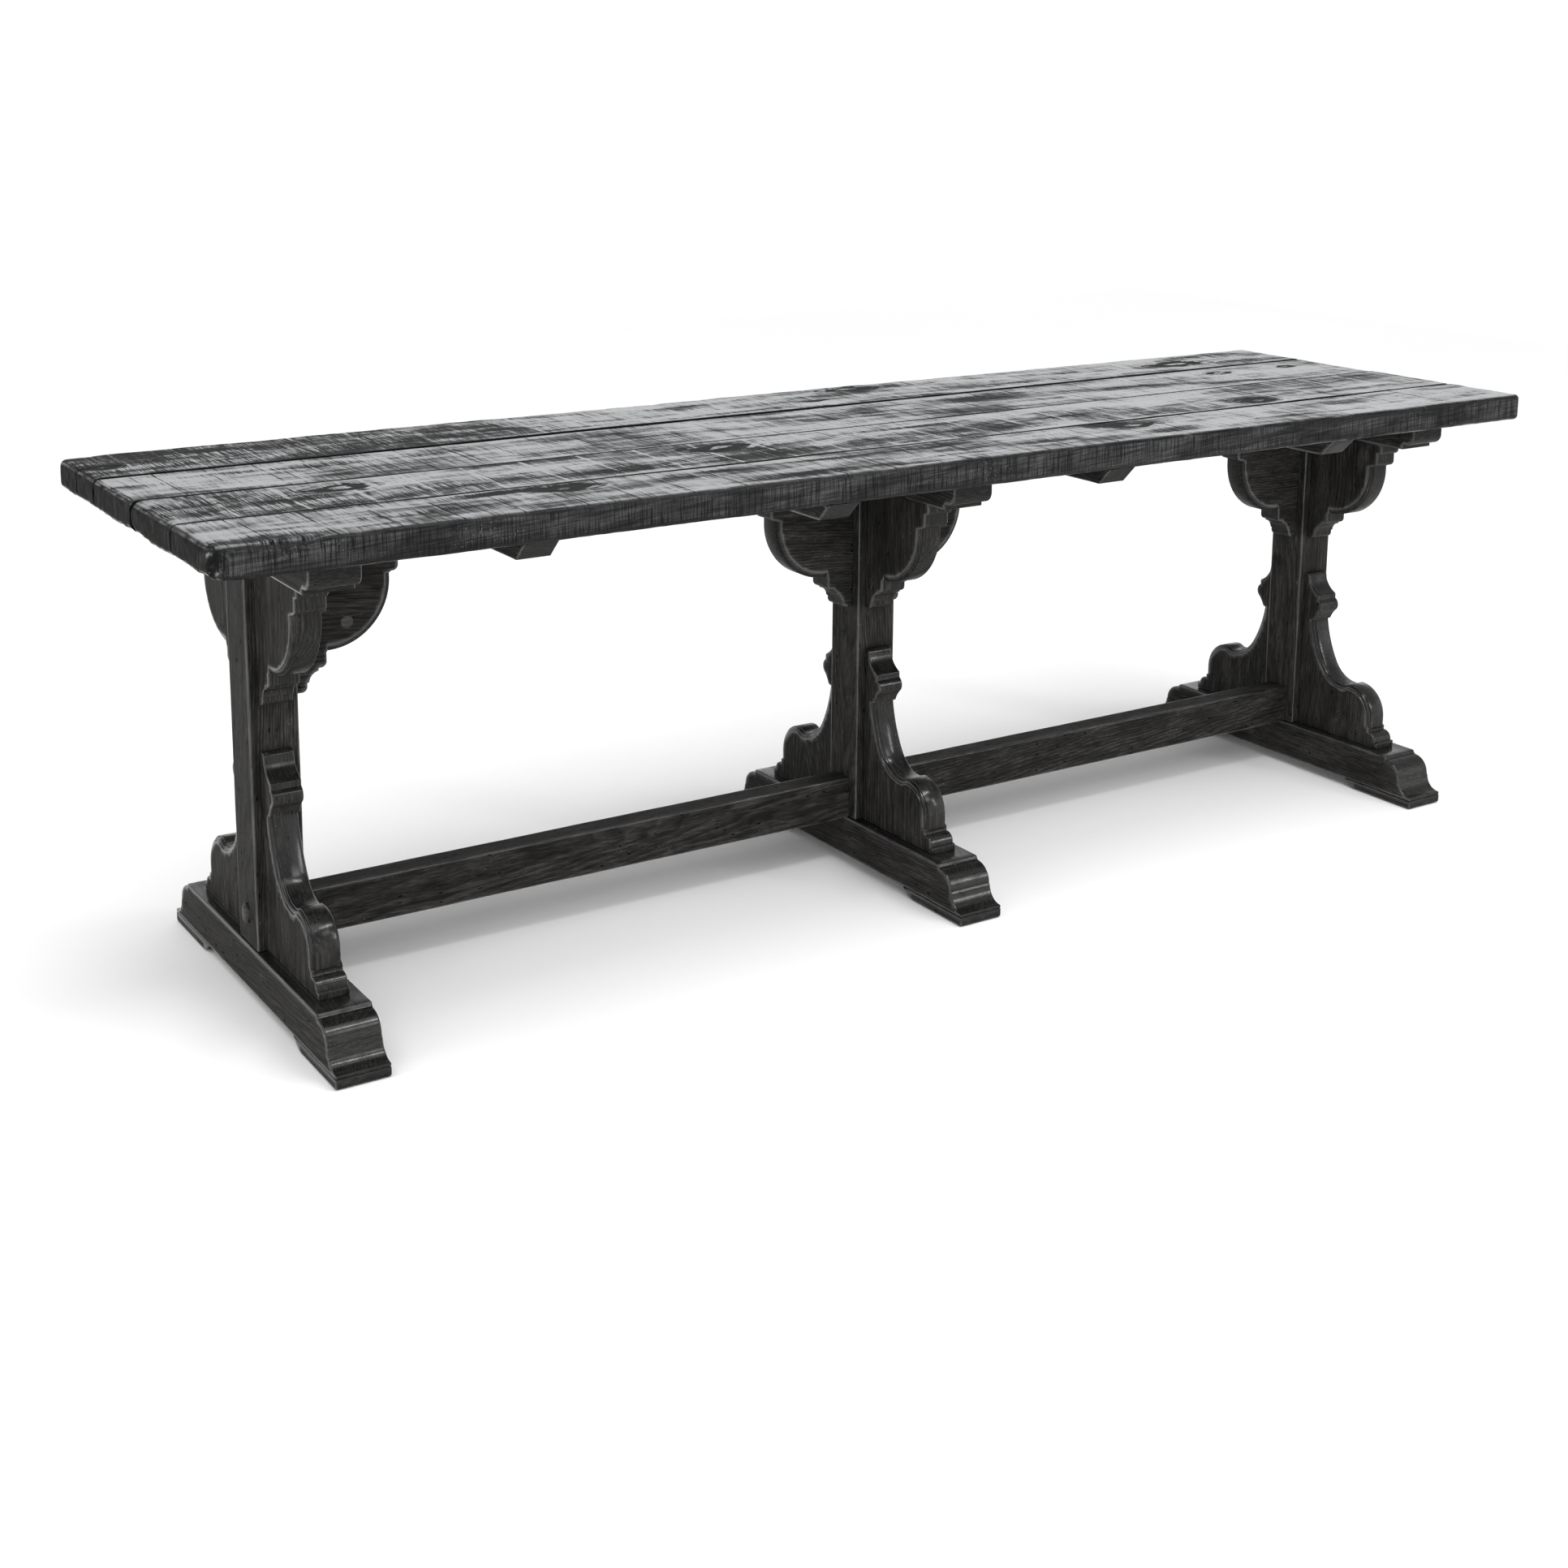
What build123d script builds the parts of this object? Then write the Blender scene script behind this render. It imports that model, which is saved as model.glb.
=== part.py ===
from build123d import *
import os
from math import asin, cos, radians, sin, sqrt

# Long trestle table on three posts, all in millimetres.
# X runs along the table, Y across it, Z up. The origin is on the floor under the middle of the top.

# ---- Driving dimensions -------------------------------------------------------------------------
TABLE_LENGTH = 2500
TABLE_WIDTH = 735
TABLE_HEIGHT = 780

# Top: four loose-edged planks of unequal width, from the front edge to the back
PLANK_THICKNESS = 47
PLANK_WIDTHS = (165, 187, 192, 182)
PLANK_GAP = 3
TOP_CORNER_RADIUS = 14
TOP_ARRIS_RADIUS = 6

# Trestles stand at these places along the table
TRESTLES = {"left": -1064, "middle": 7, "right": 1070}

# Cleats under the planks, between the trestles
CLEATS = {"outer_left": -785, "inner_left": -280, "inner_right": 272, "outer_right": 787}
CLEAT_WIDTH = 55
CLEAT_DEPTH = 28
CLEAT_HALF_LENGTH = 358

# Cross rails under the planks, one on each post
RAIL_WIDTH = 76
RAIL_DEPTH = 52
RAIL_HALF_LENGTH = 303
RAIL_NOSE_RADIUS = 17
RAIL_FILLET = 9

# Posts
POST_WIDTH = 76
POST_DEPTH = 80
POST_TENON_THICKNESS = 30
POST_TENON_WIDTH = 56
TOP_TENON_LENGTH = 36
BOTTOM_TENON_LENGTH = 50

# Feet and the sole pads under their ends
FOOT_WIDTH = 82
FOOT_HALF_LENGTH = 350
FOOT_TOP = 87
PAD_THICKNESS = 16
PAD_INNER_TOP = 186
PAD_INNER_BOTTOM = 212
PAD_NOSE_RADIUS = 6

# Stretchers from post to post, their bottom edges level with the tops of the feet
STRETCHER_HEIGHT = 73
STRETCHER_THICKNESS = 44
STRETCHER_TENON_LENGTH = 34
STRETCHER_TENON_HEIGHT = 52
STRETCHER_TENON_THICKNESS = 22

# Scroll brackets, the same thickness at the foot and at the rail, with a routed edge
BRACKET_THICKNESS = 47
MOULDING_WIDTH = 6
MOULDING_INSET = 7

# Pegs, dowels, nails and screws
PEG_RADIUS = 7
PEG_REACH = 60
PEG_HEAD_WIDTH = 24
PEG_HEAD_HEIGHT = 32
PEG_HEAD_PROUD = 8
PEG_HEIGHT = 136
DOWEL_RADIUS = 5
DOWEL_IN_POST = 24
DOWEL_IN_BRACKET = 18
LOWER_DOWEL_HEIGHTS = (180, 335)
UPPER_DOWEL_HEIGHTS = (560, 635)
FOOT_DOWEL_REACH = 150
FOOT_DOWEL_HALF = 20
PLUG_RADIUS = 10
PLUG_DEPTH = 8
PLUG_REACH = 122
PLUG_HEIGHT = 566
SCREW_RADIUS = 2.5
SCREW_HEAD_RADIUS = 5
SCREW_HEAD_DEPTH = 3.5
SCREW_IN_PLANK = 32
NAIL_RADIUS = 1.6
NAIL_HEAD_RADIUS = 3.5
NAIL_HEAD_DEPTH = 1.2
NAIL_LENGTH = 40

# ---- Worked out from them -----------------------------------------------------------------------
TOP_UNDERSIDE = TABLE_HEIGHT - PLANK_THICKNESS
RAIL_BOTTOM = TOP_UNDERSIDE - RAIL_DEPTH
PLANK_CENTRES = [
    sum(PLANK_WIDTHS[:k]) + k * PLANK_GAP + width / 2 - TABLE_WIDTH / 2
    for k, width in enumerate(PLANK_WIDTHS)
]
PLANK_NAMES = ["front_edge_plank", "front_plank", "back_plank", "back_edge_plank"]
SIDES = {"front": -1, "back": 1}


def block(x_range, y_range, z_range):
    """A box between two corners."""
    low = Vector(x_range[0], y_range[0], z_range[0])
    high = Vector(x_range[1], y_range[1], z_range[1])
    size = high - low
    return Pos((low + high) / 2) * Box(size.X, size.Y, size.Z)


def centred(middle, width):
    """The range of a width about its middle."""
    return (middle - width / 2, middle + width / 2)


def on_circle(centre, radius, degrees):
    """The point of a circle at an angle."""
    return (centre[0] + radius * cos(radians(degrees)), centre[1] + radius * sin(radians(degrees)))


def chain(*pieces):
    """A closed face from outline pieces in order: points, and curves that run between them."""
    edges = []
    last = None
    first = None
    for piece in pieces:
        start, end = (piece, piece) if isinstance(piece, tuple) else (piece @ 0, piece @ 1)
        start, end = Vector(start), Vector(end)
        if last is not None and (start - last).length > 1e-4:
            edges.append(Line(last, start))
        if not isinstance(piece, tuple):
            edges.append(piece)
        last = end
        first = start if first is None else first
    if (first - last).length > 1e-4:
        edges.append(Line(last, first))
    return make_face(Wire(edges))


def upright(face, thickness):
    """Stands an outline of reach and height up in the XZ plane, with its thickness along Y."""
    return extrude(Plane.XZ * face, amount=thickness / 2, both=True)


def facing(solid, degrees, place_x):
    """Turns a piece that points along +X about the post, then carries it to its trestle."""
    return Pos(place_x, 0, 0) * Rot(0, 0, degrees) * solid


# ---- Scroll brackets ----------------------------------------------------------------------------
def lower_outline(inset):
    """Bracket that stands on the foot. Reach is measured from the middle of the post.

    From the top: a flat finial on a hollow, a bead, a long sweep of two arcs, a full round belly and
    a small plinth. The inset draws the sweep and the belly in, for the routed edge.
    """
    sweep_centre, sweep_radius = (152, 254), 62
    long_radius = 225
    join = 31
    reach = long_radius - sweep_radius
    long_centre = on_circle(sweep_centre, reach, join)
    sweep_top = 302
    belly_centre, belly_radius = (168, 141), 56
    neck = 222
    long_start = 180 - asin((sweep_top - long_centre[1]) / (long_radius + inset)) * 180 / 3.14159265
    long_middle = (long_start + 180 + join) / 2
    long_arc = ThreePointArc(
        on_circle(long_centre, long_radius + inset, long_start),
        on_circle(long_centre, long_radius + inset, long_middle),
        on_circle(long_centre, long_radius + inset, 180 + join),
    )
    sweep_arc = ThreePointArc(
        on_circle(sweep_centre, sweep_radius + inset, 180 + join),
        on_circle(sweep_centre, sweep_radius + inset, 240),
        on_circle(sweep_centre, sweep_radius + inset, 270),
    )
    belly = ThreePointArc(
        on_circle(belly_centre, belly_radius - inset, 90),
        on_circle(belly_centre, belly_radius - inset, 45),
        on_circle(belly_centre, belly_radius - inset, 0),
    )
    rise = Spline(sweep_arc @ 1, belly @ 0, tangents=[(1, 0), (1, 0)])
    start = POST_DEPTH / 2
    return chain(
        (start, FOOT_TOP), (start, 395), (50, 395), (53.5, 390),
        ThreePointArc((55, 381), (62, 369.5), (76, 358.5)),
        (80, 356),
        ThreePointArc((80, 347), (88, 334), (82, 322)),
        ThreePointArc((82, 322), (74, 312), (70, 304)),
        long_arc, sweep_arc, rise, belly,
        (neck - inset, 122), (neck, 116),
        ThreePointArc((223, 115), (235.5, 110.5), (240, 99)),
        (246, 99), (246, FOOT_TOP),
    )


def upper_outline(start, top, inset):
    """Bracket that hangs under the rail or under the top, from a cap down to a stepped drop.

    From the top: a cap, a second block, a quarter round and a small stepped drop at the post. The
    inset draws the quarter round in, for the routed edge.
    """
    round_centre, round_radius = (95, 623), 99
    quarter = ThreePointArc(
        on_circle(round_centre, round_radius - inset, 0),
        on_circle(round_centre, round_radius - inset, 315),
        on_circle(round_centre, round_radius - inset, 270),
    )
    drop = 90
    return chain(
        (start, top), (216, top), (216, 664), (212, 659), (206, 659),
        ThreePointArc((206, 645), (204, 637.5), (198, 634)),
        (round_centre[0] + round_radius - inset, 634),
        quarter,
        (drop, round_centre[1] - round_radius + inset),
        ThreePointArc((drop, 511), (87.5, 504), (80, 501)),
        (77, 501), (77, 497),
        ThreePointArc((76, 497), (66, 491), (62, 481)),
        (59, 481),
        ThreePointArc((59, 476), (56.36, 469.64), (50, 467)),
        (start, 467),
    )


def routed(outline):
    """A bracket with a full core and a drawn-in layer on each face."""
    core = upright(outline(0), BRACKET_THICKNESS - 2 * MOULDING_WIDTH)
    faces = upright(outline(MOULDING_INSET), BRACKET_THICKNESS)
    return core + faces


def post_dowel(height, post_half):
    """A dowel along X across the joint between a post and a bracket."""
    return Pos(post_half - DOWEL_IN_POST, 0, height) * Rot(0, 90, 0) * Cylinder(
        DOWEL_RADIUS, DOWEL_IN_POST + DOWEL_IN_BRACKET, align=(Align.CENTER, Align.CENTER, Align.MIN))


def lower_dowels():
    """Two dowels into the post and one down into the foot, for a bracket that points along +X."""
    dowels = [post_dowel(height, POST_DEPTH / 2) for height in LOWER_DOWEL_HEIGHTS]
    dowels.append(Pos(FOOT_DOWEL_REACH, 0, FOOT_TOP) * Cylinder(DOWEL_RADIUS, 2 * FOOT_DOWEL_HALF))
    return dowels


def upper_dowels(post_half):
    """Two dowels into the post, for a bracket that points along +X."""
    return [post_dowel(height, post_half) for height in UPPER_DOWEL_HEIGHTS]


# ---- Fasteners ----------------------------------------------------------------------------------
def screw(x, y, bottom, length):
    """A countersunk wood screw that points up, its head flush with the bottom face."""
    head = Cone(SCREW_HEAD_RADIUS, SCREW_RADIUS, SCREW_HEAD_DEPTH,
                align=(Align.CENTER, Align.CENTER, Align.MIN))
    shank_length = length - SCREW_HEAD_DEPTH - 2 * SCREW_RADIUS
    shank = Pos(0, 0, SCREW_HEAD_DEPTH) * Cylinder(
        SCREW_RADIUS, shank_length, align=(Align.CENTER, Align.CENTER, Align.MIN))
    tip = Pos(0, 0, length - 2 * SCREW_RADIUS) * Cone(
        SCREW_RADIUS, 0.5, 2 * SCREW_RADIUS, align=(Align.CENTER, Align.CENTER, Align.MIN))
    return Pos(x, y, bottom) * (head + shank + tip)


def nail(x, y):
    """A flat-headed nail up through a sole pad into the foot, its head flush with the sole."""
    head = Cylinder(NAIL_HEAD_RADIUS, NAIL_HEAD_DEPTH, align=(Align.CENTER, Align.CENTER, Align.MIN))
    shank = Cylinder(NAIL_RADIUS, NAIL_LENGTH, align=(Align.CENTER, Align.CENTER, Align.MIN))
    return Pos(x, y, 0) * (head + shank)


def cleat_screws():
    """Two screws into each plank from each cleat."""
    bottom = TOP_UNDERSIDE - CLEAT_DEPTH
    return [
        screw(x, plank + offset, bottom, CLEAT_DEPTH + SCREW_IN_PLANK)
        for x in CLEATS.values() for plank in PLANK_CENTRES for offset in (-38, 38)
    ]


def rail_screws():
    """Two screws into each plank from each cross rail, beside the brackets."""
    screws = []
    for x in TRESTLES.values():
        for plank in PLANK_CENTRES:
            y = max(-255, min(255, plank))
            for offset in (-30, 30):
                screws.append(screw(x + offset, y, RAIL_BOTTOM, RAIL_DEPTH + SCREW_IN_PLANK))
    return screws


def pad_nails():
    """Three nails in each sole pad, in a triangle."""
    return [
        nail(x + offset, side * reach)
        for x in TRESTLES.values() for side in SIDES.values()
        for offset, reach in ((-26, 245), (26, 245), (0, 318))
    ]


def stretcher_peg(name):
    """A turned peg with an oval domed head, driven through an end post into the stretcher."""
    outward = -1 if name == "left" else 1
    shank = Cylinder(PEG_RADIUS, POST_WIDTH + PEG_REACH, align=(Align.CENTER, Align.CENTER, Align.MAX))
    dome = scale(Sphere(1), by=(PEG_HEAD_WIDTH / 2, PEG_HEAD_HEIGHT / 2, PEG_HEAD_PROUD))
    outside = block((-50, 50), (-50, 50), (0, 50))
    peg = shank + (dome & outside)
    face = TRESTLES[name] + outward * POST_WIDTH / 2
    return Pos(face, 0, PEG_HEIGHT) * Rot(0, 0, 0 if outward > 0 else 180) * Rot(0, 90, 0) * (
        Rot(0, 0, 90) * peg)


def bracket_plug():
    """A round plug flush in the front face of the left lengthwise bracket."""
    face = -BRACKET_THICKNESS / 2
    return Pos(TRESTLES["left"] + PLUG_REACH, face, PLUG_HEIGHT) * Rot(-90, 0, 0) * Cylinder(
        PLUG_RADIUS, PLUG_DEPTH, align=(Align.CENTER, Align.CENTER, Align.MIN))


# ---- Top ----------------------------------------------------------------------------------------
def plank(index):
    """A plank of the top, with rounded outer corners and eased outer arrises."""
    middle, width = PLANK_CENTRES[index], PLANK_WIDTHS[index]
    ends = (-TABLE_LENGTH / 2, TABLE_LENGTH / 2)
    board = block(ends, centred(middle, width), (TOP_UNDERSIDE, TABLE_HEIGHT))
    side = 0
    if index == 0:
        side = -1
    if index == len(PLANK_WIDTHS) - 1:
        side = 1
    if side:
        outer_corners = board.edges().filter_by(Axis.Z).filter_by(
            lambda edge: edge.center().Y * side > TABLE_WIDTH / 2 - 1)
        board = fillet(outer_corners, TOP_CORNER_RADIUS)
    inner_limit = width / 2 - 0.5

    def is_outer(edge):
        place = edge.center()
        at_end = abs(place.X) > TABLE_LENGTH / 2 - TOP_CORNER_RADIUS
        at_side = side and (place.Y - middle) * side > inner_limit - 0.1
        level = abs(edge.bounding_box().size.Z) < 0.01
        return level and (at_end or at_side)

    return fillet(board.edges().filter_by(is_outer), TOP_ARRIS_RADIUS)


def cleat(x):
    """A batten across the planks, with bevelled ends."""
    end, bottom = CLEAT_HALF_LENGTH, TOP_UNDERSIDE - CLEAT_DEPTH
    outline = chain((-end, TOP_UNDERSIDE), (end, TOP_UNDERSIDE), (end - CLEAT_DEPTH, bottom),
                    (CLEAT_DEPTH - end, bottom))
    return facing(upright(outline, CLEAT_WIDTH), 90, x)


# ---- Trestles -----------------------------------------------------------------------------------
def post_tenon(x, z_range):
    """The tenon at either end of a post."""
    return block(centred(x, POST_TENON_THICKNESS), centred(0, POST_TENON_WIDTH), z_range)


def bottom_tenon(x):
    return post_tenon(x, (FOOT_TOP - BOTTOM_TENON_LENGTH, FOOT_TOP))


def top_tenon(x):
    return post_tenon(x, (RAIL_BOTTOM, RAIL_BOTTOM + TOP_TENON_LENGTH))


def stretcher_tenon(x, side):
    """The tenon that enters the post at x from its left (-1) or right (1) side."""
    face = x + side * POST_WIDTH / 2
    inner = face - side * STRETCHER_TENON_LENGTH
    return block(sorted((face, inner)), centred(0, STRETCHER_TENON_THICKNESS),
                 centred(FOOT_TOP + STRETCHER_HEIGHT / 2, STRETCHER_TENON_HEIGHT))


def stretcher_sides(name):
    """The sides of a post that a stretcher enters, and that carry a lengthwise bracket."""
    return {"left": (1,), "middle": (-1, 1), "right": (-1,)}[name]


def post(name):
    """A post with a tenon at each end and a mortise for each stretcher."""
    x = TRESTLES[name]
    body = block(centred(x, POST_WIDTH), centred(0, POST_DEPTH), (FOOT_TOP, RAIL_BOTTOM))
    body = body + bottom_tenon(x) + top_tenon(x)
    for side in stretcher_sides(name):
        body = body - stretcher_tenon(x, side)
    return body


def rail(x):
    """A cross rail with a moulded nose at each end and a mortise for the post."""
    end, top, low = RAIL_HALF_LENGTH, TOP_UNDERSIDE, RAIL_BOTTOM + RAIL_FILLET
    radius = RAIL_NOSE_RADIUS
    centre = (end - radius, low + radius)
    slant = radius / sqrt(2)
    right_nose = ThreePointArc((end, low + radius), (centre[0] + slant, centre[1] - slant),
                               (end - radius, low))
    left_nose = ThreePointArc((radius - end, low), (-centre[0] - slant, centre[1] - slant),
                              (-end, low + radius))
    step = end - radius - RAIL_FILLET
    outline = chain((-end, top), (end, top), right_nose, (step, low), (step, RAIL_BOTTOM),
                    (-step, RAIL_BOTTOM), (-step, low), left_nose)
    return facing(upright(outline, RAIL_WIDTH), 90, x) - top_tenon(x)


def foot_end(sign):
    """The moulded end of a foot in order from its flat top: step, round, hollow, toe."""
    toe = FOOT_HALF_LENGTH
    parts = [
        (283, FOOT_TOP), (286, 81), (291, 80),
        ThreePointArc((291, 80), (310, 71), (319, 50)),
        ThreePointArc((321, 47), (328, 31), (343, 23)),
        (toe, 22), (toe, PAD_THICKNESS),
    ]
    if sign > 0:
        return parts
    mirrored = []
    for part in reversed(parts):
        if isinstance(part, tuple):
            mirrored.append((-part[0], part[1]))
        else:
            points = [part @ 1, part @ 0.5, part @ 0]
            mirrored.append(ThreePointArc(*[(-point.X, point.Y) for point in points]))
    return mirrored


def foot(x):
    """A foot with moulded ends and a mortise for the post."""
    outline = chain(*foot_end(1), *foot_end(-1))
    return facing(upright(outline, FOOT_WIDTH), 90, x) - bottom_tenon(x)


def pad(x, side):
    """A sole pad under one end of a foot, sloped at its inner end and rounded at its toe."""
    toe, radius = FOOT_HALF_LENGTH, PAD_NOSE_RADIUS
    slant = radius * (1 - 1 / sqrt(2))
    nose = ThreePointArc((toe, radius), (toe - slant, slant), (toe - radius, 0))
    outline = chain((PAD_INNER_TOP, PAD_THICKNESS), (toe, PAD_THICKNESS), nose,
                    (PAD_INNER_BOTTOM, 0))
    return facing(upright(outline, FOOT_WIDTH), 90 * side, x)


def stretcher(left_name, right_name):
    """A stretcher between two posts, with a tenon at each end."""
    left, right = TRESTLES[left_name], TRESTLES[right_name]
    body = block((left + POST_WIDTH / 2, right - POST_WIDTH / 2), centred(0, STRETCHER_THICKNESS),
                 (FOOT_TOP, FOOT_TOP + STRETCHER_HEIGHT))
    return body + stretcher_tenon(left, 1) + stretcher_tenon(right, -1)


# ---- Assembly -----------------------------------------------------------------------------------
def without(solid, tools):
    """Cuts the pockets of the fasteners that cross a piece."""
    box = solid.bounding_box()
    for tool in tools:
        other = tool.bounding_box()
        apart = any(
            getattr(other.min, axis) > getattr(box.max, axis)
            or getattr(other.max, axis) < getattr(box.min, axis)
            for axis in "XYZ"
        )
        if not apart:
            solid = solid - tool
    return solid


def build():
    """Every node by name: wood pieces with their pockets cut, then the fasteners in groups."""
    wood = {}
    for index, name in enumerate(PLANK_NAMES):
        wood[name] = plank(index)
    for name, x in CLEATS.items():
        wood[f"{name}_cleat"] = cleat(x)
    wood["left_stretcher"] = stretcher("left", "middle")
    wood["right_stretcher"] = stretcher("middle", "right")

    lower = routed(lower_outline)
    upper_cross = routed(lambda inset: upper_outline(POST_DEPTH / 2, RAIL_BOTTOM, inset))
    upper_long = routed(lambda inset: upper_outline(POST_WIDTH / 2, TOP_UNDERSIDE, inset))
    lower_pegs, upper_pegs = [], []
    for name, x in TRESTLES.items():
        wood[f"{name}_post"] = post(name)
        wood[f"{name}_rail"] = rail(x)
        wood[f"{name}_foot"] = foot(x)
        for side_name, side in SIDES.items():
            turn = 90 * side
            wood[f"{name}_{side_name}_pad"] = pad(x, side)
            wood[f"{name}_{side_name}_foot_bracket"] = facing(lower, turn, x)
            wood[f"{name}_{side_name}_rail_bracket"] = facing(upper_cross, turn, x)
            lower_pegs += [facing(dowel, turn, x) for dowel in lower_dowels()]
            upper_pegs += [facing(dowel, turn, x) for dowel in upper_dowels(POST_DEPTH / 2)]
        for side in stretcher_sides(name):
            turn = 0 if side > 0 else 180
            way = "right" if side > 0 else "left"
            wood[f"{name}_{way}_top_bracket"] = facing(upper_long, turn, x)
            upper_pegs += [facing(dowel, turn, x) for dowel in upper_dowels(POST_WIDTH / 2)]

    groups = {
        "cleat_screws": cleat_screws(),
        "rail_screws": rail_screws(),
        "pad_nails": pad_nails(),
        "stretcher_pegs": [stretcher_peg("left"), stretcher_peg("right")],
        "foot_bracket_dowels": lower_pegs,
        "upper_bracket_dowels": upper_pegs,
        "bracket_plug": [bracket_plug()],
    }
    tools = [tool for group in groups.values() for tool in group]
    nodes = {name: without(solid, tools) for name, solid in wood.items()}
    for name, group in groups.items():
        nodes[name] = Compound(children=group) if len(group) > 1 else group[0]
    return nodes


os.makedirs("parts", exist_ok=True)
for node_name, shape in build().items():
    export_step(shape, f"parts/{node_name}.step")
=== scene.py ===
import math
import bpy
import numpy as np
from mathutils import Matrix, Vector
from mathutils.geometry import delaunay_2d_cdt


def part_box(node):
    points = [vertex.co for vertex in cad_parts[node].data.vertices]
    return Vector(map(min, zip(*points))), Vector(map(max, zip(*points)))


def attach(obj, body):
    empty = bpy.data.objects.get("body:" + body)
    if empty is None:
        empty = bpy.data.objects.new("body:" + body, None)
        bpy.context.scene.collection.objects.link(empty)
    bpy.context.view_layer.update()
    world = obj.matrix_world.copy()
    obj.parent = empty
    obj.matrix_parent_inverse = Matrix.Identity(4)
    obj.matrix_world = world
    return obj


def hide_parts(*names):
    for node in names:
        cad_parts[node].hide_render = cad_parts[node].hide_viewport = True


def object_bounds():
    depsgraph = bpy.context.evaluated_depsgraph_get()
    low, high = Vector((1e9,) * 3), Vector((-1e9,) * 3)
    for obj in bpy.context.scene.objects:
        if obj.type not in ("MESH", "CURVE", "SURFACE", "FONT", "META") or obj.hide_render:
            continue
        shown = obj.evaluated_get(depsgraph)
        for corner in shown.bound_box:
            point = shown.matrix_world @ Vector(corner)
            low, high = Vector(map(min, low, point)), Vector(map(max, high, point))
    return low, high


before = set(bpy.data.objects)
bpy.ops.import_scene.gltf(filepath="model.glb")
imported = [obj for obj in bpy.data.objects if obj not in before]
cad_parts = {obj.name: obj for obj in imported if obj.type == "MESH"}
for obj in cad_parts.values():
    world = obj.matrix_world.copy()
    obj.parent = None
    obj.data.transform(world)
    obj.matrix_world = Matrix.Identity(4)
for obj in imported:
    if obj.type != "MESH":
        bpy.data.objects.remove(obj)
cad_low, cad_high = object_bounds()

MM = 0.001
ARRIS = 2.5 * MM                 # of the posts and stretchers
ON_FACE = 0.3 * MM               # a point this near to a face lies on it
SEED = 11
TRESTLES = ("left", "middle", "right")
ALONG_X, ALONG_Z = 0, 2


# ---- Noise --------------------------------------------------------------------------------------
def hashed(cells, seed):
    """A repeatable number from 0 to 1 for each whole-number cell."""
    x, y, z = (cells[:, k].astype(np.uint64) for k in range(3))
    mixed = (x * np.uint64(374761393)) ^ (y * np.uint64(668265263)) ^ (z * np.uint64(2246822519))
    mixed = (mixed + np.uint64(seed * 3266489917)) & np.uint64(0xFFFFFFFF)
    mixed = ((mixed ^ (mixed >> np.uint64(15))) * np.uint64(2654435761)) & np.uint64(0xFFFFFFFF)
    mixed = ((mixed ^ (mixed >> np.uint64(13))) * np.uint64(1274126177)) & np.uint64(0xFFFFFFFF)
    return ((mixed ^ (mixed >> np.uint64(16))) & np.uint64(0xFFFF)).astype(float) / 65535


def drift(points, size, seed):
    """Smooth noise from -1 to 1 at each point. It changes over about the given size, in metres."""
    place = np.asarray(points, float) / size + 1000
    base = np.floor(place)
    part = place - base
    part = part * part * (3 - 2 * part)
    total = np.zeros(len(place))
    for corner in np.ndindex(2, 2, 2):
        weight = np.where(corner, part, 1 - part).prod(axis=1)
        total += weight * hashed(base + corner, seed)
    return 2 * total - 1


def smoothstep(low, high, value):
    """0 below low, 1 above high, with a smooth rise between."""
    part = np.clip((value - low) / (high - low), 0, 1)
    return part * part * (3 - 2 * part)


# ---- Mesh pieces --------------------------------------------------------------------------------
def add_object(name, data):
    thing = bpy.data.objects.new(name, data)
    bpy.context.scene.collection.objects.link(thing)
    return thing


def add_piece(name, points, faces, look, nodes, attributes, sharp=40):
    """Makes a piece that stands for CAD nodes and carries per-point attributes for its material.

    Of two looks, the second goes on every face that doesn't look up.
    """
    _, kept, welded = np.unique(np.round(points, 6), axis=0, return_index=True, return_inverse=True)
    points = points[kept]
    faces = [list(dict.fromkeys(welded.ravel()[face].tolist())) for face in faces]
    mesh = bpy.data.meshes.new(name)
    mesh.from_pydata(points.tolist(), [], [face for face in faces if len(face) > 2])
    for key, values in attributes.items():
        values = np.asarray(values, float)[kept]
        kind = "FLOAT_VECTOR" if values.ndim == 2 else "FLOAT"
        field = "vector" if values.ndim == 2 else "value"
        mesh.attributes.new(key, kind, "POINT").data.foreach_set(field, values.ravel())
    mesh.shade_smooth()
    mesh.set_sharp_from_angle(angle=math.radians(sharp))
    for each in look if isinstance(look, list) else [look]:
        mesh.materials.append(each)
    if len(mesh.materials) > 1:
        level = np.empty(len(mesh.polygons) * 3)
        mesh.polygons.foreach_get("normal", level)
        mesh.polygons.foreach_set("material_index", (level[2::3] < 0.8).astype(np.int32))
    piece = add_object(name, mesh)
    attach(piece, "root")
    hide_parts(*nodes)


def grain_coordinates(points, along, seed):
    """Places in the wood: x along the grain, y and z across it, measured from the tree's heart."""
    rng = np.random.default_rng(seed)
    across = [(along + 1) % 3, (along + 2) % 3]
    middle = (points.max(axis=0) + points.min(axis=0)) / 2
    angle = rng.uniform(0, 2 * math.pi)
    reach = rng.uniform(0.05, 0.11)
    heart = [reach * math.cos(angle), reach * math.sin(angle)]
    lean = rng.uniform(-0.07, 0.07, 2)
    grain = np.empty_like(points)
    grain[:, 0] = points[:, along] + rng.uniform(0, 50)
    for k, axis in enumerate(across):
        leaning = lean[k] * (points[:, along] - middle[along])
        grain[:, k + 1] = points[:, axis] - middle[axis] + heart[k] + leaning
    return grain


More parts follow.
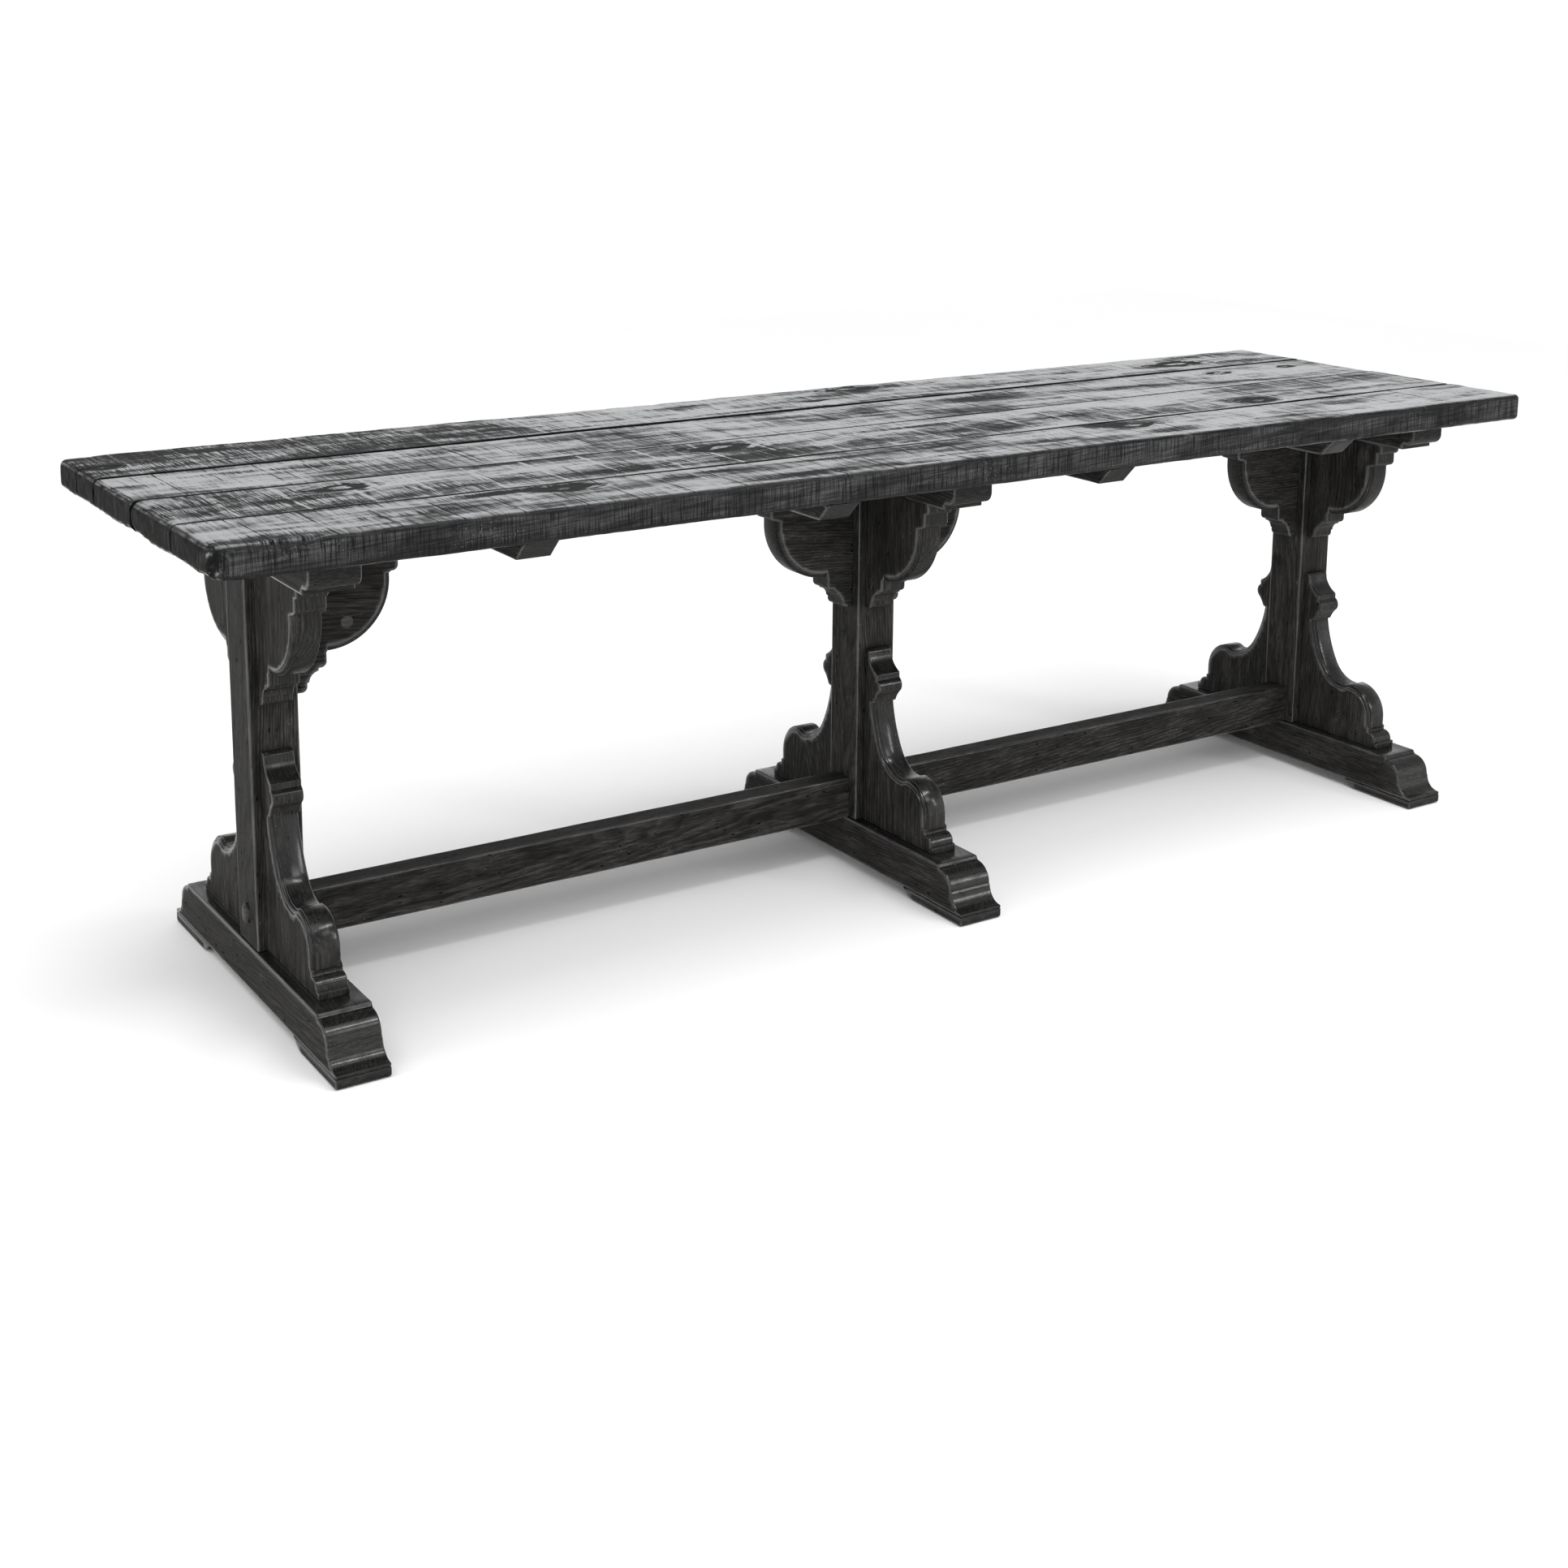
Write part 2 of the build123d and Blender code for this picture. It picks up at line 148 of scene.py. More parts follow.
def ruled(low, high, step, ease, extra=()):
    """Line positions from low to high, close together in the eased edges and at the extra places."""
    near = np.array([0, 0.3, 0.62, 1.0, 1.6]) * ease
    count = max(2, round((high - low) / step))
    inner = np.linspace(low + near[-1], high - near[-1], count)
    lines = np.concatenate([low + near[:-1], inner, high - near[:-1]])
    for place in extra:
        lines = lines[np.abs(lines - place) > 0.4 * min(step, 4 * MM)]
        lines = np.append(lines, place)
    return np.sort(lines)


def box_grid(lines):
    """The surface of a box ruled with lines along each axis: its points and its quads."""
    shape = [len(line) for line in lines]
    steps = np.indices(shape)
    surface = np.zeros(shape, bool)
    for axis in range(3):
        surface |= (steps[axis] == 0) | (steps[axis] == shape[axis] - 1)
    index = np.full(shape, -1)
    index[surface] = np.arange(surface.sum())
    points = np.stack([np.asarray(lines[axis])[steps[axis][surface]] for axis in range(3)], axis=1)
    quads = []
    for axis in range(3):
        for end in (0, -1):
            sheet = np.take(index, end, axis)
            quad = np.stack([sheet[:-1, :-1], sheet[1:, :-1], sheet[1:, 1:], sheet[:-1, 1:]], axis=-1)
            quad = quad.reshape(-1, 4)
            outward = (end == -1) != (axis == 1)
            quads.append(quad if outward else quad[:, ::-1])
    return points, np.concatenate(quads).tolist()


def rounded(points, core):
    """Draws the corners that stand out from a smaller core onto arcs round its edges."""
    out = points - core
    reach = np.abs(out).max(axis=1)
    length = np.linalg.norm(out, axis=1)
    scale = np.divide(reach, length, out=np.zeros_like(length), where=length > 0)
    return core + out * scale[:, None]


def timber(name, low, high, along, seed, wear=0.6 * MM):
    """A straight squared timber: eased arrises, hand-planed faces a little out of true."""
    low, high = np.array(low, float), np.array(high, float)
    lines = []
    for axis in range(3):
        lines.append(ruled(low[axis], high[axis], (9 if axis == along else 6) * MM, ARRIS))
    points, quads = box_grid(lines)
    gaps = np.minimum(points - low, high - points)
    distance = np.sort(gaps, axis=1)[:, 1]
    on_end = (gaps[:, along] < ON_FACE) & (np.delete(gaps, along, axis=1).min(axis=1) > ON_FACE)
    radius = (ARRIS * (1 + 0.35 * drift(points, 60 * MM, seed)))[:, None]
    points = rounded(points, np.clip(points, low + radius, high - radius))
    across = points - (low + high) / 2
    across[:, along] = 0
    length = np.linalg.norm(across, axis=1)
    across /= np.maximum(length, 1e-6)[:, None]
    planed = drift(points, 90 * MM, seed + 1) + 0.4 * drift(points, 25 * MM, seed + 2)
    points = points - across * (wear * 0.5 * (1 + planed / 1.4))[:, None]
    attributes = {
        "grain": grain_coordinates(points, along, seed),
        "ends": on_end.astype(float),
        "edge": 1 - smoothstep(0, 7 * MM, distance),
    }
    add_piece(name, points, quads, ebonised, [name], attributes)


# ---- Outlines -----------------------------------------------------------------------------------
def on_circle(centre, radius, degrees):
    angle = math.radians(degrees)
    return (centre[0] + radius * math.cos(angle), centre[1] + radius * math.sin(angle))


def arc(centre, radius, start, end, step=2.2):
    """Points on a circle between two angles in degrees, about a step apart."""
    count = max(3, round(abs(math.radians(end - start)) * radius / step) + 1)
    return [on_circle(centre, radius, angle) for angle in np.linspace(start, end, count)]


def bend(first, through, last, step=1.6):
    """Points on the circle through three points."""
    (ax, ay), (bx, by), (cx, cy) = first, through, last
    double = 2 * (ax * (by - cy) + bx * (cy - ay) + cx * (ay - by))
    squares = [x * x + y * y for x, y in (first, through, last)]
    x = (squares[0] * (by - cy) + squares[1] * (cy - ay) + squares[2] * (ay - by)) / double
    y = (squares[0] * (cx - bx) + squares[1] * (ax - cx) + squares[2] * (bx - ax)) / double
    angles = [math.degrees(math.atan2(py - y, px - x)) for px, py in (first, through, last)]
    turn = (angles[2] - angles[0] + 180) % 360 - 180
    halfway = (angles[1] - angles[0] + 180) % 360 - 180
    if turn * halfway < 0:
        turn -= math.copysign(360, turn)
    return arc((x, y), math.hypot(ax - x, ay - y), angles[0], angles[0] + turn, step)


def rise(first, last, count=9):
    """An S curve that leaves and arrives level."""
    return [
        (first[0] + (last[0] - first[0]) * t, first[1] + (last[1] - first[1]) * smoothstep(0, 1, t))
        for t in np.linspace(0, 1, count)
    ]


def lower_outline():
    """Reach and height of the bracket on the foot, in stretches marked 1 where the edge is routed."""
    sweep_centre, sweep_radius, long_radius, join = (152, 254), 62, 225, 31
    long_centre = on_circle(sweep_centre, long_radius - sweep_radius, join)
    sweep_top = 302
    start = 180 - math.degrees(math.asin((sweep_top - long_centre[1]) / long_radius))
    belly_centre, belly_radius = (168, 141), 56
    routed = arc(long_centre, long_radius, start, 180 + join, 4)
    routed += arc(sweep_centre, sweep_radius, 180 + join, 270)[1:]
    routed += rise(routed[-1], on_circle(belly_centre, belly_radius, 90))[1:]
    routed += arc(belly_centre, belly_radius, 90, 0)[1:]
    routed.append((224, 123))
    return [
        ([(40, 87), (40, 395), (50, 395), (53.5, 390)], 0),
        (bend((55, 381), (62, 369.5), (76, 358.5)) + [(80, 356)], 0),
        (bend((80, 347), (88, 334), (82, 322)), 0),
        (bend((82, 322), (74, 312), (70, 304))[1:], 0),
        (routed, 1),
        ([(222, 120), (222, 116)], 0),
        (bend((223, 115), (235.5, 110.5), (240, 99)), 0),
        ([(246, 99), (246, 87)], 0),
    ]


def upper_outline(start, top):
    """Reach and height of a bracket under the rail or the top, marked where the edge is routed."""
    return [
        ([(start, 467), (start, top), (216, top), (216, 664), (212, 659), (206, 659)], 0),
        (bend((206, 645), (204, 637.5), (198, 634)), 0),
        ([(194, 634)], 0),
        ([(194, 631)] + arc((95, 623), 99, 0, -90) + [(92, 524)], 1),
        ([(90, 524)], 0),
        (bend((90, 511), (87.5, 504), (80, 501)), 0),
        ([(77, 501)], 0),
        (bend((77, 497), (66, 491), (62, 481)), 0),
        ([(59, 481)], 0),
        (bend((59, 476), (56.36, 469.64), (50, 467)), 0),
    ]


def foot_end():
    """Reach and height of a moulded foot end, from the flat top down to the sole pad."""
    return (
        [(283, 87), (286, 81), (291, 80)]
        + bend((291, 80), (310, 71), (319, 50))[1:]
        + bend((321, 47), (328, 31), (343, 23))
        + [(350, 22), (350, 16)]
    )


def mirrored(points):
    """The other half of a symmetric outline."""
    return [(-x, y) for x, y in reversed(points)]


def softened(points, routed, corner, step):
    """Rounds the sharp corners of a closed outline a little, then divides its long stretches."""
    count = len(points)
    soft, marks = [], []
    for k in range(count):
        here, before, after = points[k], points[k - 1], points[(k + 1) % count]
        back, forward = before - here, after - here
        back_length, forward_length = np.linalg.norm(back), np.linalg.norm(forward)
        back, forward = back / back_length, forward / forward_length
        turn = math.acos(np.clip(-back @ forward, -1, 1))
        if turn > math.radians(25):
            cut = min(corner, 0.4 * back_length, 0.4 * forward_length)
            first, last = here + back * cut, here + forward * cut
            soft += [first, (first + 2 * here + last) / 4, last]
            marks += [routed[k]] * 3
        else:
            soft.append(here)
            marks.append(routed[k])
    dense, dense_marks = [], []
    for k, here in enumerate(soft):
        after = soft[(k + 1) % len(soft)]
        pieces = max(1, round(np.linalg.norm(after - here) / step))
        for part in range(pieces):
            dense.append(here + (after - here) * part / pieces)
            dense_marks.append(marks[k] if part == 0 else min(marks[k], marks[(k + 1) % len(soft)]))
    return np.array(dense), np.array(dense_marks, float)


def unfolded(loop, directions):
    """Draws together the points of an inset loop wherever it doubles back at a small corner."""
    loop = loop.copy()
    for _ in range(40):
        forward = np.sum((np.roll(loop, -1, axis=0) - loop) * directions, axis=1)
        folded = np.nonzero(forward < 0.01)[0]
        if len(folded) == 0:
            break
        for k in folded:
            after = (k + 1) % len(loop)
            middle = (loop[k] + loop[after]) / 2
            loop[k], loop[after] = middle - directions[k] * 0.01, middle + directions[k] * 0.01
    return loop


def profile_loops(half, ease):
    """(distance from the middle, inset) pairs from the middle of the edge out to the face."""
    return [(half - ease * (1 - math.sin(a)), ease * (1 - math.cos(a)))
            for a in np.radians([0, 30, 60, 90])]


def routed_loops(half):
    """The router's profile: a quirk, an ovolo, a second quirk and a small bead at the face."""
    ovolo = [(half - 6.4 + 4.3 * math.sin(a), 2.4 + 4.3 * (1 - math.cos(a)))
             for a in np.radians([0, 22, 45, 68, 90])]
    bead = [(half - 1.9 + 1.9 * math.sin(a), 8.0 + 1.9 * (1 - math.cos(a)))
            for a in np.radians([0, 45, 90])]
    return [(half - 7.4, 0), (half - 6.7, 0.35), (half - 6.4, 1.1)] + ovolo + [(half - 2.0, 7.4)] + bead


def filled(outline, step):
    """Points inside a closed outline, about a step apart, and the triangles that fill it."""
    low, high = outline.min(axis=0), outline.max(axis=0)
    grid = np.stack(np.meshgrid(*(np.arange(low[k] + step / 2, high[k], step) for k in (0, 1))), axis=-1)
    grid = grid.reshape(-1, 2)
    after = np.roll(outline, -1, axis=0)
    side = after - outline
    inside = np.zeros(len(grid), bool)
    clear = np.full(len(grid), True)
    for k in range(len(outline)):
        (ax, ay), (bx, by) = outline[k], after[k]
        crosses = (grid[:, 1] < ay) != (grid[:, 1] < by)
        if ay != by:
            inside ^= crosses & (grid[:, 0] < ax + (bx - ax) * (grid[:, 1] - ay) / (by - ay))
        along = ((grid - outline[k]) @ side[k] / (side[k] @ side[k])).clip(0, 1)
        clear &= np.linalg.norm(grid - outline[k] - along[:, None] * side[k], axis=1) > 0.45 * step
    inner = grid[inside & clear]
    places = [Vector(point) for point in np.concatenate([outline, inner])]
    edge = [(k, (k + 1) % len(outline)) for k in range(len(outline))]
    _, _, faces, origins, _, _ = delaunay_2d_cdt(places, edge, [], 1, 1e-5)
    # where a thin tip makes the outline cross itself the new point has no origin: it takes the last one
    first = [min(origin, default=-1) for origin in origins]
    return inner, [[first[k] for k in face] for face in faces if len(set(first[k] for k in face)) > 2]


def outline_piece(name, stretches, thickness, turn, place, grain_turn, seed, ease=1.6,
                  corner=1.2, step=9, wear=0.35):
    """A board cut to an outline of reach and height (mm) with eased or routed edges.

    The outline stands in the XZ plane, is turned about Z and carried to its place. grain_turn is 0
    where the grain runs along the reach and 2 where it stands upright.
    """
    points = np.array([point for stretch, _ in stretches for point in stretch], float)
    routed = [mark for stretch, mark in stretches for _ in stretch]
    keep = [k for k in range(len(points)) if np.linalg.norm(points[k] - points[k - 1]) > 0.05]
    points, routed = points[keep], [routed[k] for k in keep]
    area = np.sum(points[:, 0] * np.roll(points[:, 1], -1) - np.roll(points[:, 0], -1) * points[:, 1])
    if area < 0:
        points, routed = points[::-1], routed[::-1]
    outline, marks = softened(points, routed, corner, step)
    edges = np.roll(outline, -1, axis=0) - outline
    edges /= np.linalg.norm(edges, axis=1)[:, None]
    normals = np.stack([edges[:, 1], -edges[:, 0]], axis=1)
    before = np.roll(normals, 1, axis=0)
    mitre = (normals + before) / (1 + np.sum(normals * before, axis=1))[:, None].clip(0.3)
    half = thickness / 2
    routing = routed_loops(half)
    plain = profile_loops(half, ease)
    fill = [(t, 0) for t in np.linspace(half * 0.55, half - ease - 0.5, len(routing) - len(plain))]
    plain = fill + plain
    side = [(np.array(p), np.array(r)) for p, r in zip(plain, routing)]
    loops = []
    for sign, stack in ((-1, side[::-1]), (1, side)):
        for plain_pair, routed_pair in stack:
            pair = plain_pair[None] * (1 - marks[:, None]) + routed_pair[None] * marks[:, None]
            flat = unfolded(outline - mitre * pair[:, 1:2], edges)
            loops.append(np.stack([flat[:, 0], sign * pair[:, 0], flat[:, 1]], axis=1))
    count, total = len(outline), len(loops)
    local = np.concatenate(loops)
    quads = []
    for k in range(total - 1):
        for i in range(count):
            j = (i + 1) % count
            quads.append([k * count + i, (k + 1) * count + i, (k + 1) * count + j, k * count + j])
    inner, triangles = filled(loops[-1][:, [0, 2]], 8)
    for loop_start, level, flip in ((0, -half, 1), ((total - 1) * count, half, -1)):
        face_start = len(local)
        local = np.concatenate([local, np.insert(inner, 1, level, axis=1)])
        for triangle in triangles:
            corners = [loop_start + k if k < count else face_start + k - count for k in triangle]
            quads.append(corners[::flip])
    local *= MM
    inward = np.concatenate([np.tile(mitre, (total, 1)), np.zeros((2 * len(inner), 2))])
    uneven = wear * MM * 0.5 * (1 + drift(local, 30 * MM, seed))
    local[:, 0] -= inward[:, 0] * uneven
    local[:, 2] -= inward[:, 1] * uneven
    angle = math.radians(turn)
    cosine, sine = math.cos(angle), math.sin(angle)
    world = np.stack([
        local[:, 0] * cosine - local[:, 1] * sine + place,
        local[:, 0] * sine + local[:, 1] * cosine,
        local[:, 2],
    ], axis=1)
    from_face = half * MM - np.abs(local[:, 1])
    along_mark = np.abs(inward[:, 0 if grain_turn == ALONG_X else 1])
    ends = smoothstep(0.55, 0.9, along_mark) * (from_face > 1.2 * MM)
    rim = np.arange(len(local)) < total * count
    # the cut edge was polished where a hand or a cloth reaches it from above
    polished = rim * (0.22 + 0.78 * smoothstep(-0.05, 0.35, inward[:, 1]))
    attributes = {
        "grain": grain_coordinates(local, grain_turn, seed),
        "ends": ends,
        "edge": (1 - smoothstep(0, 5 * MM, from_face)) * rim,
        "rim": polished,
    }
    add_piece(name, world, quads, ebonised, [name], attributes, sharp=32)


# ---- Shader building ----------------------------------------------------------------------------
class Shader:
    """The node tree of a material or world, with a short call for each kind of node used."""

    def __init__(self, owner, surface="Principled BSDF"):
        owner.use_nodes = True
        self.owner = owner
        self.nodes = owner.node_tree.nodes
        self.links = owner.node_tree.links
        self.surface = self.nodes[surface]

    def put(self, socket, value):
        """Links a socket, or sets the value on it."""
        if isinstance(value, bpy.types.NodeSocket):
            self.links.new(value, socket)
        else:
            socket.default_value = value

    def set(self, **inputs):
        """Fills the inputs of the surface, written with _ for the spaces in their names."""
        for key, value in inputs.items():
            self.put(self.surface.inputs[key.replace("_", " ")], value)

    def node(self, kind, output, inputs, **settings):
        """Adds a node with these settings and inputs and gives one of its outputs."""
        node = self.nodes.new("ShaderNode" + kind)
        for key, value in settings.items():
            setattr(node, key, value)
        for key, value in inputs.items():
            self.put(node.inputs[key], value)
        return node.outputs[output]

    def attribute(self, name, output="Fac"):
        return self.node("Attribute", output, {}, attribute_name=name)

    def object_place(self):
        return self.node("TexCoord", "Object", {})

    def split(self, vector):
        node = self.nodes.new("ShaderNodeSeparateXYZ")
        self.put(node.inputs[0], vector)
        return tuple(node.outputs)

    def join(self, x, y, z):
        return self.node("CombineXYZ", 0, {"X": x, "Y": y, "Z": z})

    def scaled(self, vector, scale):
        return self.node("VectorMath", 0, {0: vector, 1: scale}, operation="MULTIPLY")

    def math(self, operation, a, b=0.0, c=0.0, clamp=False):
        return self.node("Math", 0, {0: a, 1: b, 2: c}, operation=operation, use_clamp=clamp)

    def times(self, a, b):
        return self.math("MULTIPLY", a, b)

    def plus(self, a, b, clamp=False):
        return self.math("ADD", a, b, clamp=clamp)

    def minus(self, a, b, clamp=False):
        return self.math("SUBTRACT", a, b, clamp=clamp)

    def linear(self, value, slope, offset, clamp=False):
        """The slope times the value, plus the offset."""
        return self.math("MULTIPLY_ADD", value, slope, offset, clamp)

    def band(self, value, low, high, start=0.0, end=1.0):
        """A smooth step from start to end as the value goes from low to high."""
        inputs = {"Value": value, "From Min": low, "From Max": high, "To Min": start, "To Max": end}
        return self.node("MapRange", 0, inputs, interpolation_type="SMOOTHSTEP")

    def noise(self, vector, scale, detail=2.0, roughness=0.5, distortion=0.0):
        """Noise at one scale, or at a scale for each axis."""
        if isinstance(scale, tuple):
            vector, scale = self.scaled(vector, scale), 1.0
        return self.node("TexNoise", "Fac", {
            "Vector": vector, "Scale": scale, "Detail": detail, "Roughness": roughness,
            "Distortion": distortion,
        })

    def specks(self, vector, scale, size, soft, share, full):
        """Specks with edges from size to soft, in the cells whose chance is above share to full."""
        inputs = {"Vector": self.scaled(vector, scale), "Scale": 1.0}
        away = self.node("TexVoronoi", "Distance", inputs)
        chance = self.split(self.node("TexVoronoi", "Color", inputs))[0]
        return self.times(self.band(away, size, soft), self.band(chance, share, full))

    def mix(self, factor, a, b):
        return self.node("Mix", "Result", {"Factor": factor, "A": a, "B": b})

    def blend(self, factor, a, b):
        return self.node("Mix", "Result", {"Factor": factor, "A": a, "B": b}, data_type="RGBA")

    def bump(self, height, distance, strength=1.0, normal=None):
        inputs = {"Height": height, "Distance": distance, "Strength": strength}
        if normal is not None:
            inputs["Normal"] = normal
        return self.node("Bump", "Normal", inputs)


def material(name):
    return Shader(bpy.data.materials.new(name))


def grey(value, warmth=0.0):
    """A grey in linear light, warmer or cooler by a small part."""
    return (value * (1 + warmth), value, value * (1 - warmth), 1.0)


def ebonised_wood():
    """Black-stained wood with a satin polish: rings, fibres, pale streaks, pits and rubbed edges."""
    s = material("ebonised_wood")
    grain = s.attribute("grain", "Vector")
    _, y, z = s.split(grain)
    ends, edge, rim = map(s.attribute, ("ends", "edge", "rim"))
    side = s.minus(1.0, ends, clamp=True)
    radius = s.math("POWER", s.plus(s.times(y, y), s.times(z, z)), 0.5)
    wander = s.noise(grain, (3.4, 12.0, 12.0), 3.0, 0.55)
    ring_place = s.linear(wander, 0.030, radius)
    ring = s.math("FRACT", s.times(ring_place, 210.0))
    late = s.times(s.band(ring, 0.25, 0.80), s.band(ring, 1.0, 0.90))
    fibre = s.band(s.noise(grain, (30.0, 900.0, 900.0), 3.0, 0.7), 0.34, 0.66)
    hair = s.band(s.noise(grain, (16.0, 560.0, 560.0), 2.0, 0.6), 0.36, 0.62)
    streak = s.band(s.noise(grain, (5.0, 150.0, 150.0), 4.0, 0.65), 0.34, 0.66)
    blotch = s.noise(grain, (11.0, 38.0, 38.0), 5.0, 0.65)
    nicks = s.noise(grain, (150.0, 420.0, 420.0), 3.0, 0.7)
    # where the stain is thin the wood shows through in fine pale lines along the grain
    worn = s.band(s.linear(streak, 0.22, blotch), 0.44, 0.84, 0.46, 1.0)
    pale = s.times(worn, s.linear(late, -0.42, 1.0))
    pale = s.times(pale, s.times(s.linear(fibre, 0.6, 0.4), s.linear(hair, 0.35, 0.65)))
    nick = s.times(s.band(nicks, 0.60, 0.74), s.band(blotch, 0.45, 0.60))
    pale = s.linear(nick, 0.6, pale, clamp=True)
    pale = s.times(pale, s.linear(rim, -0.6, 1.0))
    # saw lines across the ends
    sawn_end = s.band(s.noise(grain, (0.0, 60.0, 520.0), 3.0, 0.65), 0.42, 0.64)
    sawn_tone = s.linear(sawn_end, 0.28, 0.16)
    pale = s.mix(ends, pale, s.times(sawn_tone, s.band(blotch, 0.35, 0.6, 0.4, 1.0)))
    rub = s.times(s.band(edge, 0.5, 1.0), s.band(s.linear(fibre, 0.12, blotch), 0.52, 0.64))
    # small pits and the odd fleck of grit
    pit = s.specks(grain, (60.0, 210.0, 210.0), 0.30, 0.16, 0.93, 0.95)
    fleck = s.specks(grain, (480.0, 800.0, 800.0), 0.45, 0.25, 0.955, 0.975)
    fleck = s.times(fleck, s.band(blotch, 0.56, 0.66))
    wood = s.blend(pale, grey(0.0016, 0.05), grey(0.076, 0.04))
    wood = s.blend(s.times(rub, 0.35), wood, grey(0.10, -0.03))
    wood = s.blend(s.times(fleck, 0.8), wood, grey(0.36, 0.04))
    wood = s.blend(pit, wood, grey(0.0015))
    height = s.times(s.linear(hair, 0.30, s.linear(late, 0.35, s.times(fibre, 0.45))), side)
    height = s.linear(s.times(sawn_end, ends), 0.5, height)
    height = s.linear(pit, -1.6, height)
    lumps = s.bump(s.linear(streak, 0.25, blotch), 1.0 * MM, 0.4)
    rough = s.linear(pale, 0.35, s.band(blotch, 0.35, 0.65, 0.30, 0.46))
    rough = s.linear(s.band(edge, 0.3, 0.9), -0.05, rough)
    rough = s.linear(pit, 0.4, rough, clamp=True)
    polish = s.times(rim, s.band(blotch, 0.36, 0.66, 0.95, 0.40))
    s.set(
        Base_Color=wood,
        Roughness=rough,
        Normal=s.bump(height, 0.6 * MM, 0.85, lumps),
        Coat_Weight=s.math("MAXIMUM", s.band(edge, 0.35, 0.95, 0.0, 0.95), polish),
    )
    s.surface.inputs["Coat Roughness"].default_value = 0.19
    s.surface.inputs["Specular IOR Level"].default_value = 0.02
    return s.owner


